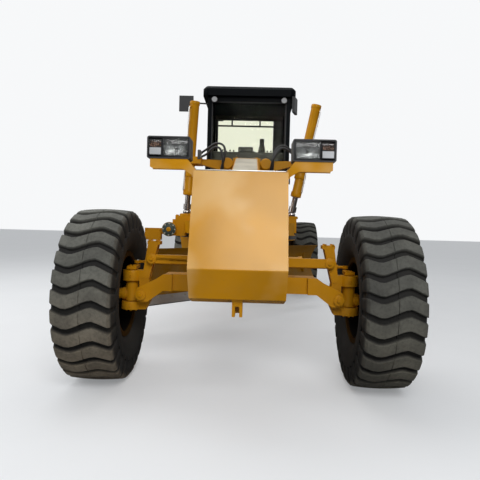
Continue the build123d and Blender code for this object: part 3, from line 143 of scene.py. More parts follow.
# ---- shader maths
class Shade:
    """A socket that takes part in sums, so that shader maths reads as plain Python."""

    def __init__(self, recipe, socket):
        self.recipe = recipe
        self.socket = socket

    def sum(self, operation, other=0.0):
        return self.recipe.node("ShaderNodeMath", {"operation": operation}, {0: self, 1: other})

    def __rsub__(self, other):
        return self * -1 + other

    __abs__ = partialmethod(sum, "ABSOLUTE")
    __add__ = __radd__ = partialmethod(sum, "ADD")
    __sub__ = partialmethod(sum, "SUBTRACT")
    __mul__ = __rmul__ = partialmethod(sum, "MULTIPLY")
    __gt__ = partialmethod(sum, "GREATER_THAN")
    __pow__ = partialmethod(sum, "POWER")

    def between(self, low, high, to=(0.0, 1.0)):
        """Rises smoothly from to[0] at low to to[1] at high."""
        return self.recipe.node("ShaderNodeMapRange", {"interpolation_type": "SMOOTHSTEP"},
                                {0: self, 1: low, 2: high, 3: to[0], 4: to[1]})


class Recipe:
    """A material, or the world's light, and the one method that makes its nodes."""

    def __init__(self, name, kind="materials"):
        self.material = getattr(bpy.data, kind).new(name)
        self.material.use_nodes = True
        self.tree = self.material.node_tree
        self.tree.nodes.clear()
        self.place = self.node("ShaderNodeTexCoord", {}, {}, "Object")

    def node(self, kind, settings, values, output=0):
        made = self.tree.nodes.new(kind)
        for key, value in settings.items():
            setattr(made, key, value)
        for key, value in values.items():
            if isinstance(value, Shade):
                self.tree.links.new(value.socket, made.inputs[key])
            else:
                made.inputs[key].default_value = value
        return Shade(self, made.outputs[output]) if made.outputs else made

    def noise(self, scale, detail=3.0, roughness=0.55, stretch=None):
        where = self.place
        if stretch:
            where = self.node("ShaderNodeMapping", {}, {"Vector": where, "Scale": stretch})
        return self.node("ShaderNodeTexNoise", {}, {
            "Vector": where, "Scale": scale, "Detail": detail, "Roughness": roughness})

    def ribs(self, direction, scale):
        """Even waves, as in fluted glass or a weave."""
        return self.node("ShaderNodeTexWave", {"bands_direction": direction},
                         {"Vector": self.place, "Scale": scale})

    def blend(self, amount, first, second):
        """Colour that goes from first to second as amount goes from 0 to 1."""
        ends = [end if isinstance(end, Shade) else (*end, 1) for end in (first, second)]
        return self.node("ShaderNodeMix", {"data_type": "RGBA"}, {0: amount, 6: ends[0], 7: ends[1]}, 2)

    def axis(self, name, vector=None):
        """One coordinate of a vector, or of the place on the piece in metres."""
        return self.node("ShaderNodeSeparateXYZ", {}, {0: vector or self.place}, name)

    def facing_up(self):
        return self.axis("Z", self.node("ShaderNodeNewGeometry", {}, {}, "Normal"))

    def ray(self, kind):
        """1 for rays of one kind, such as Camera or Glossy."""
        return self.node("ShaderNodeLightPath", {}, {}, f"Is {kind} Ray")

    def finish(self, base, rough, normal=None, **more):
        """Ends the material in a Principled shader.

        normal is a bump's height, strength and distance; a keyword's underscores stand for spaces.
        """
        sockets = {"Base Color": base, "Roughness": rough}
        if normal:
            bump = dict(zip(("Height", "Strength", "Distance"), normal))
            sockets["Normal"] = self.node("ShaderNodeBump", {}, bump)
        sockets.update((key.replace("_", " "), value) for key, value in more.items())
        for key, value in sockets.items():
            if isinstance(value, tuple):
                sockets[key] = (*value, 1)
        shader = self.node("ShaderNodeBsdfPrincipled", {}, sockets)
        self.node("ShaderNodeOutputMaterial", {}, {"Surface": shader})
        return self.material


def paint(name, tone, gloss=0.34, dusty=0.35, coat_weight=0.05, ior=1.3, tint=(1.0, 0.82, 0.50), painted_reflection=0.0):
    """Sprayed paint with slow colour drift, fine peel, dust on ledges, grime low down and pale patches of
    painted sky reflection.
    """
    mix = Recipe(name)
    drift = mix.noise(1.7, 2).between(0.35, 0.7)
    speck = mix.noise(38, 4)
    grime = mix.noise(6, 5, 0.65)
    coat = mix.blend(drift, dim(tone, 0.80), tone)
    # Pale patches painted into the colour stand in for the sky's reflection on the paint.
    if painted_reflection:
        reflection_patches = mix.noise(1.9, 3, 0.45).between(0.40, 0.58) * mix.noise(0.9, 1).between(0.2, 0.5, (0.5, 1.0))
        coat = mix.blend(reflection_patches * painted_reflection, coat, (0.66, 0.42, 0.17))
    low = mix.axis("Z").between(1.5, 0.4)
    ledge = mix.facing_up().between(0.5, 0.95)
    film = (ledge * 0.34 + low * 0.30) * grime.between(0.35, 0.75) * dusty
    coat = mix.blend(film, coat, colour("dust"))
    streak = mix.noise(9, 3, 0.6, (1, 1, 0.14)).between(0.58, 0.78) * 0.22 * dusty
    coat = mix.blend(streak, coat, dim(tone, 0.45))
    chip = (mix.noise(55, 2, 0.5) > 0.735) * mix.noise(2.5, 2).between(0.5, 0.72)
    coat = mix.blend(chip * 0.75, coat, (0.075, 0.060, 0.050))
    peel = mix.noise(160, 2) + chip * -0.8
    return mix.finish(coat, gloss + film * 0.45 + speck * 0.07, (peel, 0.12, 0.002), IOR=ior,
                      Specular_Tint=tint, Coat_Weight=coat_weight, Coat_Roughness=0.16)


def rim_paint(tone):
    """Rim paint, dusty outside, with painted shade taking the inboard barrel almost to black."""
    mix = Recipe("rim_paint")
    cloud = mix.noise(5, 4, 0.6)
    inboard = abs(mix.axis("X"))
    # Painted shade: the inboard barrel goes almost black, a little less at the lip's flange.
    painted_shade = inboard.between(TRACK_HALF + 0.045, TRACK_HALF + 0.035)
    painted_shade *= 1.0 - inboard.between(TRACK_HALF - 0.146, TRACK_HALF - 0.158) * 0.12
    dusty = mix.blend(cloud.between(0.45, 0.75) * 0.35, tone, colour("dust"))
    base = mix.blend(painted_shade, dusty, (0.003, 0.0025, 0.002))
    return mix.finish(base, 0.5 + cloud * 0.2, (cloud, 0.15, 0.002), IOR=1.12)


def tyre_rubber():
    """Rubber with dust colour on the lugs' faces, darker in the grooves, browner on the machine's right, where
    the dust is also brighter as painted light.
    """
    mix = Recipe("tyre_rubber")
    lug_height = mix.node("ShaderNodeAttribute", {"attribute_name": "lug"}, {}, "Fac")
    cloud = mix.noise(3.1, 4, 0.6).between(0.3, 0.72)
    fine = mix.noise(46, 5, 0.65)
    dust = colour("dust")
    # The grooves stay dark rubber and the lugs' faces take the dust colour by their height.
    base = mix.blend(cloud * 0.5, dim(colour("rubber"), 0.6), dim(dust, 0.10))
    low = mix.axis("Z").between(1.0, 0.15)
    earthy = mix.blend(mix.axis("X").between(0.6, -0.6), dust, (0.230, 0.188, 0.132))
    stony = tuple(part * share for part, share in zip(dust, (0.86, 0.93, 1.05)))
    # Painted light: more dust colour on the machine's right than on its left.
    painted_side_light = mix.axis("X").between(-1.2, 1.2, (1.08, 0.70))
    amount = lug_height ** 2 * (cloud * 0.45 + 0.42) * fine.between(0.28, 0.62, (0.7, 1.0)) * painted_side_light
    scuff = mix.noise(120, 2)
    return mix.finish(mix.blend(amount, base, mix.blend(low, stony, earthy)), 0.88 - 0.10 * fine,
                      (fine * 0.6 + scuff * 0.4, 0.35, 0.003), Specular_IOR_Level=0.35)


def metal(name, tone, rough, dirt, grain=None):
    """Bare metal with a brushed or rolled grain and some dull patches."""
    mix = Recipe(name)
    lines = mix.noise(90, 3, 0.6, grain)
    patch = mix.noise(5, 4, 0.6).between(0.45, 0.75) * dirt
    return mix.finish(mix.blend(patch, tone, dim(tone, 0.42)), rough + lines * 0.12 + patch * 0.35,
                      (lines, 0.10, 0.001), Metallic=1.0 - patch * 0.5)


def plain_black(name, tone, rough, grain=70, shine=0.5):
    """Moulded plastic, rubber or cast iron: a fine grain and a little dust."""
    mix = Recipe(name)
    skin = mix.noise(grain, 4, 0.6)
    dust = mix.facing_up().between(0.4, 1.0) * mix.noise(4, 3).between(0.35, 0.7) * 0.35
    base = mix.blend(dust, mix.blend(skin, tone, dim(tone, 1.5)), colour("dust"))
    return mix.finish(base, rough + skin * 0.12 + dust * 0.2, (skin, 0.25, 0.001), Specular_IOR_Level=shine)


def milky(name, tone, rough):
    """Smooth pale plastic with a faint wipe of dust."""
    mix = Recipe(name)
    wipe = mix.noise(3, 4, 0.6).between(0.4, 0.8)
    base = mix.blend(wipe, tone, dim(tone, 1.4))
    return mix.finish(base, rough + wipe * 0.1, (wipe, 0.05, 0.001), IOR=1.15)


def clear(name, tone, smear, ripple=0.0, ior=1.45):
    """Glass with a faint smear; ripple gives a lens its flutes."""
    mix = Recipe(name)
    wipe = mix.noise(3, 3, 0.6).between(0.4, 0.8)
    height = mix.ribs("X", 26.0) if ripple else mix.noise(20, 1)
    return mix.finish(tone, smear + wipe * 0.05, (height, ripple, 0.002), Transmission_Weight=1.0, IOR=ior)


def lens_plastic(name, tone):
    """Coloured, ribbed lens plastic."""
    mix = Recipe(name)
    rib = mix.ribs("Z", 30.0)
    return mix.finish(mix.blend(rib, tone, dim(tone, 0.7)), 0.18, (rib, 0.3, 0.001), Coat_Weight=0.6)


def cloth():
    """Woven seat cover."""
    mix = Recipe("seat_cloth")
    weave = mix.ribs("X", 75.0) * 0.5 + mix.ribs("DIAGONAL", 60.0) * 0.5
    base = mix.blend(weave, (0.030, 0.032, 0.036), (0.065, 0.068, 0.075))
    return mix.finish(base, 0.92, (weave, 0.5, 0.002), Sheen_Weight=0.3)


FINISHES = {}
SLOTS = {  # each finish's slot
    finish: slot for slot, finishes in {
        "body_paint": "paint", "dark_paint": "dark", "tyre": "rubber", "seat_cloth": "cloth",
        "iron": "iron motor", "chrome": "mirrored mirror", "steel": "steel pipe pale bolt",
        "black_trim": "hose trim band felt", "lens": "lens signal milky red amber",
    }.items() for finish in finishes.split()}


def make_finishes():
    """One material for each finish, made once."""
    body = colour("paint")
    FINISHES.update(
        paint=paint("body_paint", body),
        # The push block's paint gets the pale patches of painted sky reflection.
        box=paint("box_paint", body, 0.2, 0.3, 0.10, 1.38, (1.0, 0.86, 0.60), 0.55),
        neck=paint("neck_paint", body, 0.36, 0.5, 0.03),
        # The blade's paint is the body paint taken down to 0.45, partly as painted shade on its hollow face,
        # with heavy dust.
        blade=paint("blade_paint", dim(body, 0.45), 0.5, 0.9, 0.0, 1.2),
        # The rims' paint is the body paint taken down to 0.6 as painted shade.
        rim=rim_paint(dim(body, 0.6)),
        dark=paint("dark_paint", colour("dark"), 0.38, 0.1, 0.0, 1.10, (1.0, 1.0, 1.0)),
        motor=paint("motor_paint", (0.050, 0.075, 0.072), 0.4, 1.0),
        rubber=tyre_rubber(),
        hose=plain_black("hose_rubber", (0.010, 0.010, 0.011), 0.42, 220),
        trim=plain_black("black_trim", (0.012, 0.012, 0.013), 0.45),
        iron=plain_black("cast_iron", (0.045, 0.043, 0.042), 0.6, 30),
        band=plain_black("sun_band", (0.0002, 0.0010, 0.0012), 0.9, 140, 0.05),
        felt=plain_black("head_liner", (0.004, 0.005, 0.006), 0.9, 140, 0.1),
        # Pale grey partly as a painted reflection of the sky on the neck's top.
        pale=plain_black("non_slip_plate", (0.40, 0.36, 0.28), 0.5, 160),
        chrome=metal("chrome", (0.38, 0.35, 0.33), 0.14, 0.25),
        mirrored=metal("lamp_silver", (0.27, 0.27, 0.255), 0.2, 0.7),
        steel=metal("worn_steel", (0.36, 0.35, 0.34), 0.34, 0.5, (1, 0.2, 1)),
        pipe=metal("pipe_steel", (0.62, 0.61, 0.58), 0.3, 0.25),
        bolt=metal("bolt_steel", (0.40, 0.37, 0.30), 0.42, 0.5),
        mirror=metal("mirror_glass", (0.82, 0.84, 0.86), 0.02, 0.05),
        glass=clear("cab_glass", (0.94, 0.95, 0.84), 0.0, ior=1.05),
        lens=clear("lamp_lens", (0.92, 0.94, 0.95), 0.02, 0.45),
        signal=clear("signal_pane", (0.58, 0.43, 0.36), 0.05, 0.45),
        milky=milky("milky_lens", (0.42, 0.43, 0.44), 0.3),
        red=lens_plastic("red_lens", (0.42, 0.012, 0.010)),
        amber=lens_plastic("amber_lens", (0.75, 0.20, 0.010)),
        cloth=cloth(),
    )


# ---- making pieces
def put(name, data):
    """Puts a mesh, curve, light or camera into the scene."""
    made = bpy.data.objects.new(name, data)
    bpy.context.scene.collection.objects.link(made)
    return made


def mesh_of(name, bm):
    """A mesh that takes over what a bmesh holds."""
    mesh = bpy.data.meshes.new(name)
    bm.to_mesh(mesh)
    bm.free()
    return mesh


def put_piece(name, data, body, finish, slot=None):
    """Puts a mesh or curve into the scene as a piece that rides on a body."""
    data.materials.append(FINISHES[finish])
    made = put(name, data)
    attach(made, body)
    slot or SLOTS[finish]
    return made


def piece(name, bm, body, finish, slot=None, sharp=32):
    """Turns a bmesh into a piece; edges sharper than sharp degrees stay sharp."""
    bmesh.ops.recalc_face_normals(bm, faces=bm.faces)
    mesh = mesh_of(name, bm)
    mesh.shade_smooth()
    mesh.set_sharp_from_angle(angle=radians(sharp))
    return put_piece(name, mesh, body, finish, slot)


def tube(name, points, radius, body, finish):
    """A smooth round line through a few given points."""
    data = bpy.data.curves.new(name, "CURVE")
    data.dimensions = "3D"
    data.bevel_depth = radius
    data.bevel_resolution = 3
    data.use_fill_caps = True
    spline = data.splines.new("NURBS")
    spline.points.add(len(points) - 1)
    for point, place in zip(spline.points, points):
        point.co = (*place, 1)
    spline.order_u = 3
    spline.use_endpoint_u = True
    spline.resolution_u = 8
    return put_piece(name, data, body, finish)


def rounded(bm, width, edges):
    bmesh.ops.bevel(bm, geom=list(edges), offset=width, affect="EDGES", segments=2, profile=0.5, material=-1,
                    clamp_overlap=True)


def box(bm, one, other, edge=0.0):
    """Adds a box between two opposite corners, its edges rounded."""
    low, high = Vector([*map(min, one, other)]), Vector([*map(max, one, other)])
    matrix = Matrix.Translation((low + high) / 2) @ Matrix.Diagonal((*(high - low), 1))
    made = bmesh.ops.create_cube(bm, size=1, matrix=matrix)
    if edge:
        rounded(bm, edge, {e for v in made["verts"] for e in v.link_edges})


def boxes(y, rows):
    """A form of boxes given as (x from, to, y from, to, z from, to, edge), with their y counted from y."""
    bm = bmesh.new()
    for x0, x1, y0, y1, z0, z1, edge in rows:
        box(bm, (x0, y + y0, z0), (x1, y + y1, z1), edge)
    return bm


def turned(direction):
    """A rotation that takes +Z to a direction."""
    return Vector(UP).rotation_difference(Vector(direction)).to_matrix().to_4x4()


def rod(bm, start, end, radius, sides=24, end_radius=None, edge=0.0):
    """Adds a round bar between two points."""
    start, end = Vector(start), Vector(end)
    along = (end - start).normalized()
    made = bmesh.ops.create_cone(
        bm, cap_ends=True, segments=sides, radius1=radius, radius2=end_radius or radius,
        depth=(end - start).length, matrix=Matrix.Translation((start + end) / 2) @ turned(along))
    if edge:
        rounded(bm, edge, {e for v in made["verts"] for e in v.link_edges
                           if abs((e.verts[0].co - e.verts[1].co).normalized().dot(along)) < 0.1})


def standing(bm, place, way, radius, sides=24, end_radius=None, edge=0.0):
    """Adds a round bar that stands on a place and reaches as far as way."""
    rod(bm, place, Vector(place) + Vector(way), radius, sides, end_radius, edge)


def disc(bm, centre, out, radius, thick, edge=0.0):
    """Adds a round plate that stands out from a face."""
    standing(bm, centre, Vector(out) * thick, radius, 32, edge=edge)


def bolt_head(bm, place, out, across=0.03, height=None):
    """Adds a washer and a six-sided head, standing out from a face."""
    out = Vector(out).normalized()
    standing(bm, place, out * across * 0.12, across * 0.68, 16)
    standing(bm, place, out * (height or across * 0.55), across * 0.54, 6, across * 0.50)


def ring_places(centre, radius, count, out, start=0.0):
    """Places spread evenly round a circle that looks along out."""
    facing = turned(out).to_3x3()
    for angle in (start + 2 * pi * i / count for i in range(count)):
        yield Vector(centre) + facing @ Vector((radius * cos(angle), radius * sin(angle), 0))


def bolt_ring(bm, centre, radius, count, out, across, start=0.0, height=None):
    """Adds bolt heads in a ring on a face that looks along out."""
    for place in ring_places(centre, radius, count, out, start):
        bolt_head(bm, place, out, across, height)


def bolt_row(bm, start, end, count, out, across):
    """Adds a straight row of bolt heads."""
    for i in range(count):
        bolt_head(bm, Vector(start).lerp(Vector(end), i / max(count - 1, 1)), out, across)


def spun(bm, outline, centre, axis, steps):
    """Turns a closed outline of points once round an axis."""
    edges = [bm.edges.new(pair) for pair in zip(outline, outline[1:] + outline[:1])]
    bmesh.ops.spin(bm, geom=outline + edges, cent=centre, axis=axis, dvec=(0, 0, 0), angle=2 * pi,
                   steps=steps, use_merge=True, use_normal_flip=False, use_duplicate=False)


# ---- tyres and wheels
RIM_R, BEAD = 0.3185, 0.160  # radius at the rim, and the bead's distance from the middle
CROWN = 0.0115  # how much lower the tread's edges are than its middle
SHOULDER = TYRE_W / 2 - 0.030
TREAD_STEPS = 11
LUG_PHASES = (0.0, 0.035, 0.075, 0.29, 0.49, 0.66, 0.70, 0.74)  # where rings of points stand along one lug
LUG_HEIGHTS = (0.0, 0.82, 1.0, 1.0, 1.0, 1.0, 0.82, 0.0)
WAVE_POINTS = ((0.0, 0.25), (0.27, -1.0), (0.68, 1.0), (1.0, -0.7))  # share of the tread's width, rise


def lug_wave(u):
    """Rise of a lug at a share u of the tread's width."""
    for (u0, w0), (u1, w1) in zip(WAVE_POINTS, WAVE_POINTS[1:]):
        if u <= u1:
            t = max((u - u0) / (u1 - u0), 0)
            return w0 + (w1 - w0) * 0.5 * (t + t * t * (3 - 2 * t))
    return w1


def tyre_profile():
    """The section from bead to bead as (x, radius, share of the grooves' depth)."""
    half = TYRE_W / 2
    wall = [(BEAD + x, RIM_R + rise, 0) for x, rise in (
        (-0.012, 0), (0, 0), (0.004, 0.028), (0.022, 0.045), (0.046, 0.085))]
    wall += [(half - 0.008, RIM_R + 0.125, 0), (half, TYRE_R - 0.185, 0)]
    wall += [(half - inset, TYRE_R - drop, share) for inset, drop, share in (
        (0.001, 0.150, 0), (0.004, 0.145, 0.22), (0.002, 0.105, 0.45), (0.008, 0.062, 0.75),
        (0.016, 0.026, 1))]
    steps = (1 - 2 * i / TREAD_STEPS for i in range(TREAD_STEPS + 1))
    tread = [(SHOULDER * step, TYRE_R - CROWN * step ** 2, 1) for step in steps]
    seam = [(0.004, TYRE_R, 1), (0, TYRE_R - 0.006, 1), (-0.004, TYRE_R, 1)]
    tread[len(tread) // 2:len(tread) // 2] = seam
    return wall + tread + [(-x, r, share) for x, r, share in reversed(wall)]


def tyre(row, side):
    """Spins the section round the axle, then swings it into waves and sinks the grooves."""
    centre, pitch, rings = middle(f"tyre_{row}_{side}"), 2 * pi / sizes().lug_count, len(LUG_PHASES)
    bm = bmesh.new()
    share_layer = bm.verts.layers.float.new("share")
    lug_height = bm.verts.layers.float.new("lug")
    outline = []
    for x, r, share in tyre_profile():
        outline.append(bm.verts.new((x, 0, r)))
        outline[-1][share_layer] = share
    spun(bm, outline, (0, 0, 0), (1, 0, 0), sizes().lug_count * rings)
    for vert in bm.verts:
        x, y, z = vert.co
        share = vert[share_layer]
        lug, ring = divmod(round(atan2(z, -y) / pitch * rings), rings)
        sunk = 1 - LUG_HEIGHTS[ring]
        radius = Vector((y, z)).length - sizes().lug_depth * share * sunk
        angle = (lug + (LUG_PHASES[ring] if share else ring / rings)) * pitch
        if share:
            angle += sizes().lug_wave * lug_wave(x / TYRE_W + 0.5) / TYRE_R
        vert[lug_height] = LUG_HEIGHTS[ring] if share > 0.9 else 0.25 * share
        if 0 < share < 0.9:
            x -= 0.010 * sunk * (1 if x > 0 else -1)
        vert.co = centre + Vector((x, -radius * cos(angle), radius * sin(angle)))
    made = piece(f"tread_{row}_{side}", bm, f"wheel_{row}_{side}", "rubber", sharp=38)
    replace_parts(made, f"tyre_{row}_{side}")


class GRADER_OT_tyres(Operator):
    """Makes the six treaded tyres"""
    bl_idname = "grader.tyres"
    bl_label = "Tyres"

    def execute(self, context):
        for side in SIDES:
            for row in WHEELS:
                tyre(row, side)
        return {"FINISHED"}


NUT_CIRCLE, NUT_SEAT = 0.172, 0.056  # radius, and distance outwards from the wheel's middle
HUB_CIRCLE, HUB_FACE, HUB_BOLTS = 0.070, 0.110, 8


class GRADER_OT_wheel_nuts(Operator):
    """Puts nuts, a hub cap ring and a valve on each rim"""
    bl_idname = "grader.wheel_nuts"
    bl_label = "Wheel nuts"

    def execute(self, context):
        for side, out in SIDES.items():
            for row in WHEELS:
                hub, way = middle(f"tyre_{row}_{side}"), Vector((out, 0, 0))
                bm = bmesh.new()
                bolt_ring(bm, hub + way * NUT_SEAT, NUT_CIRCLE, sizes().wheel_nuts, way, 0.036, height=0.030)
                bolt_ring(bm, hub + way * HUB_FACE, HUB_CIRCLE, HUB_BOLTS, way, 0.020, pi / HUB_BOLTS)
                standing(bm, hub + way * HUB_FACE, way * 0.012, 0.045, 32, 0.040)
                standing(bm, hub + Vector((out * 0.090, 0, 0.285)), (out * 0.035, 0, -0.012), 0.006, 12)
                piece(f"wheel_nuts_{row}_{side}", bm, f"wheel_{row}_{side}", "bolt")
        return {"FINISHED"}


# ---- lamps
SLABS = {  # piece: its finish, how far its front and its back stand before the lens, its edge
    "panes": ("lens", 0.003, -0.001, 0.0015),
    "bezels": ("trim", 0.006, 0.001, 0.0015),
    "signals": ("signal", 0.005, 0.0035, 0.0005),
    "side_lights": ("milky", 0.005, 0.0035, 0.0005),
}
WHOLE = ((-1, -1, 1, 1),)
RIM = ((-1, -1, 1, -0.9), (-1, 0.9, 1, 1), (-1, -1, -0.93, 1), (0.93, -1, 1, 1))
LENSES = (  # start and end across the housing, how much lower, bulbs' heights, slabs' spans in half sizes
    (-0.1285, 0.040, 0.0, (0,), {"panes": WHOLE, "bezels": RIM}),
    (0.048, 0.1285, 0.008, (-0.5, 0.5), {
        "panes": WHOLE, "bezels": RIM + ((-1, -0.05, 1, 0.05),), "signals": ((-1, 0.05, 1, 1),),
        "side_lights": ((-1, -1, 1, -0.05),)}),
)
HALF_HOUSING = 0.1425
BOWL_DEPTH = 0.030


class GRADER_OT_lamps(Operator):
    """Makes reflectors, bulbs, bezels, fluted lenses and small tinted panes for the four lamps"""
    bl_idname = "grader.lamps"
    bl_label = "Lamps"

    def execute(self, context):
        low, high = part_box("lamp_lenses")
        front, z = low.y, (low.z + high.z) / 2
        for side, out in SIDES.items():
            dish, forms = bmesh.new(), {name: bmesh.new() for name in SLABS}
            for start, end, less, bulbs, slabs in LENSES:
                x = out * (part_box("lamp_housings")[1].x - HALF_HOUSING + (start + end) / 2)
                w, h = (end - start) / 2, (high.z - low.z) / 2 - less
                self.reflector(dish, Vector((x, front, z)), w, h, bulbs)
                for name, spans in slabs.items():
                    _, near, far, edge = SLABS[name]
                    for left, bottom, right, top in spans:
                        box(forms[name], (x + left * w, front - near, z + bottom * h),
                            (x + right * w, front - far, z + top * h), edge)
            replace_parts(piece(f"lamp_reflectors_{side}", dish, "front", "mirrored", sharp=12), "lamp_lenses")
            for name, bm in forms.items():
                piece(f"lamp_{name}_{side}", bm, "front", SLABS[name][0])
        return {"FINISHED"}

    def reflector(self, bm, centre, w, h, bulbs):
        """A facetted bowl with its bulbs."""
        for vert in bmesh.ops.create_grid(bm, x_segments=9, y_segments=7, size=1)["verts"]:
            u, v, _ = vert.co
            deep = BOWL_DEPTH * (1 - max(abs(u), abs(v)) ** 3) * (0.86 + 0.14 * cos(11 * u) * cos(9 * v))
            vert.co = centre + Vector((u * w, 0.002 + deep, v * h))
        for rise in bulbs:
            spot = Matrix.Translation(centre + Vector((0, 0.014, rise * h)))
            bmesh.ops.create_uvsphere(bm, u_segments=12, v_segments=8, radius=0.010, matrix=spot)


# ---- hydraulic lines
SADDLE_HOSES = (  # side, then places as x outwards, y behind the saddle's front, z
    (-1, ((0.610, 0.06, 2.165), (0.520, 0.02, 2.215), (0.400, -0.03, 2.300), (0.285, -0.06, 2.270),
          (0.270, -0.06, 2.130), (0.330, -0.03, 1.960), (0.335, 0.02, 1.880))),
    (-1, ((0.610, 0.00, 2.110), (0.520, -0.03, 2.130), (0.430, -0.07, 2.235), (0.330, -0.10, 2.230),
          (0.300, -0.10, 2.080), (0.300, -0.06, 1.960), (0.300, 0.00, 1.880))),
    (1, ((0.610, 0.06, 2.200), (0.530, 0.02, 2.265), (0.430, -0.03, 2.290), (0.345, -0.06, 2.200),
         (0.335, -0.05, 2.050), (0.330, -0.01, 1.880))),
    (1, ((0.610, 0.00, 2.150), (0.540, -0.03, 2.220), (0.430, -0.07, 2.255), (0.360, -0.10, 2.160),
         (0.310, -0.08, 2.030), (0.300, -0.02, 1.880))),
)
PIPE_LOW, PIPE_HIGH = 0.39, 0.70  # the lift pipe's ends, below and above the barrel's pivot


class GRADER_OT_hydraulics(Operator):
    """Makes the hoses at the saddle and the pipes and ports of the lift cylinders"""
    bl_idname = "grader.hydraulics"
    bl_label = "Hydraulic lines"

    def execute(self, context):
        saddle_y = anchor("lift_yoke_left").y - 0.13
        for i, (out, route) in enumerate(SADDLE_HOSES):
            points = [Vector((out * x, saddle_y + y, z)) for x, y, z in route]
            tube(f"saddle_hose_{i}", points, sizes().hose_radius, "front", "hose")
            ends = bmesh.new()
            for end, inner in (points[:2], points[:-3:-1]):
                way = (inner - end).normalized()
                rod(ends, end - way * 0.012, end + way * 0.035, 0.020, 16, edge=0.002)
                rod(ends, end - way * 0.004, end + way * 0.012, 0.024, 6)
            piece(f"saddle_hose_ends_{i}", ends, "front", "steel")
        for side, out in SIDES.items():
            x = out * 0.61
            ports = boxes(saddle_y, ((x - 0.02, x + 0.02, -0.03, 0.09, 2.085, 2.205, 0.006),))
            piece(f"hose_ports_{side}", ports, "front", "iron")
            self.lift_pipe(side, out)
        return {"FINISHED"}

    def lift_pipe(self, side, out):
        """A thin steel pipe up the barrel, with ports and clips, and the barrel's collar rings."""
        body = f"lift_barrel_{side}"
        pivot = anchor(body)
        up = Vector(JOINTS[f"lift_rod_{side}"]["axis"])
        up = up if up.z > 0 else -up
        lean = Vector((out * 0.05, -0.05, 0))
        lean -= up * lean.dot(up)
        low, high = pivot - up * PIPE_LOW, pivot + up * PIPE_HIGH
        route = [low + lean * 0.8, low + lean * 1.25, low + lean * 1.25 + up * 0.05,
                 pivot + lean * 1.05 + up * 0.1,
                 high + lean * 1.25 - up * 0.05, high + lean * 1.25, high + lean * 0.8]
        tube(f"lift_pipe_{side}", route, 0.008, body, "pipe")
        ports, half_clip = bmesh.new(), Vector((0.012, 0.012, 0.008))
        for place in (low, high):
            rod(ports, place + lean * 0.5, place + lean * 1.1, 0.016, 6)
        for clip in (pivot + up * rise for rise in (-0.25, 0.25, 0.5)):
            box(ports, clip + lean * 0.6 - half_clip, clip + lean * 1.25 + half_clip, 0.002)
        standing(ports, pivot - up * 0.447, up * 0.007, 0.052, 32)
        standing(ports, pivot - up * 0.205, up * 0.060, 0.074, 32, edge=0.003)
        piece(f"lift_ports_{side}", ports, body, "paint")


# ---- bolts, pin keepers and plates
ASIDE = (1, 0, 0)
# Each piece's body, its rings as (centre, radius, count, out, across), and its rows with start and end.
PATTERNS = {
    "saddle_bolts": ("front", (  # what starts at x > 0 is on both sides
        ((0, -0.174, 0.770), 0.090, 8, AHEAD, 0.022), ((0.770, -0.142, 0.685), 0.0, 1, AHEAD, 0.034)), (
        ((0.130, 2.410, 2.114), (0.130, 2.590, 2.114), 4, UP, 0.030),
        ((0.176, 2.400, 1.890), (0.176, 2.600, 1.890), 4, ASIDE, 0.030),
        ((0.310, -0.490, 0.850), (0.310, -0.490, 1.500), 5, ASIDE, 0.034),
        ((0.170, 2.860, 1.900), (0.170, 3.100, 1.900), 3, ASIDE, 0.030))),
    "hitch_bolts": ("rear", (
        ((0, 3.440, 1.740), 0.028, 3, UP, 0.022), ((0, 3.440, 1.130), 0.028, 3, DOWN, 0.022)), (
        ((-0.250, 3.640, 1.560), (0.250, 3.640, 1.560), 5, AHEAD, 0.032),
        ((0.420, 4.300, 1.300), (0.420, 4.480, 1.300), 3, ASIDE, 0.030),
        ((0.420, 5.700, 1.200), (0.420, 6.700, 1.200), 8, ASIDE, 0.032),
        ((-0.360, 7.880, 1.000), (0.360, 7.880, 1.000), 6, BACK, 0.034),
        ((-0.360, 7.880, 1.390), (0.360, 7.880, 1.390), 6, BACK, 0.034))),
}
LEAN_PIN = (0.770, 0.685)  # x and z
BAR_PIN = (0.700, 0.965)
KINGPIN_X = 0.870
CASE_FACE = 0.818


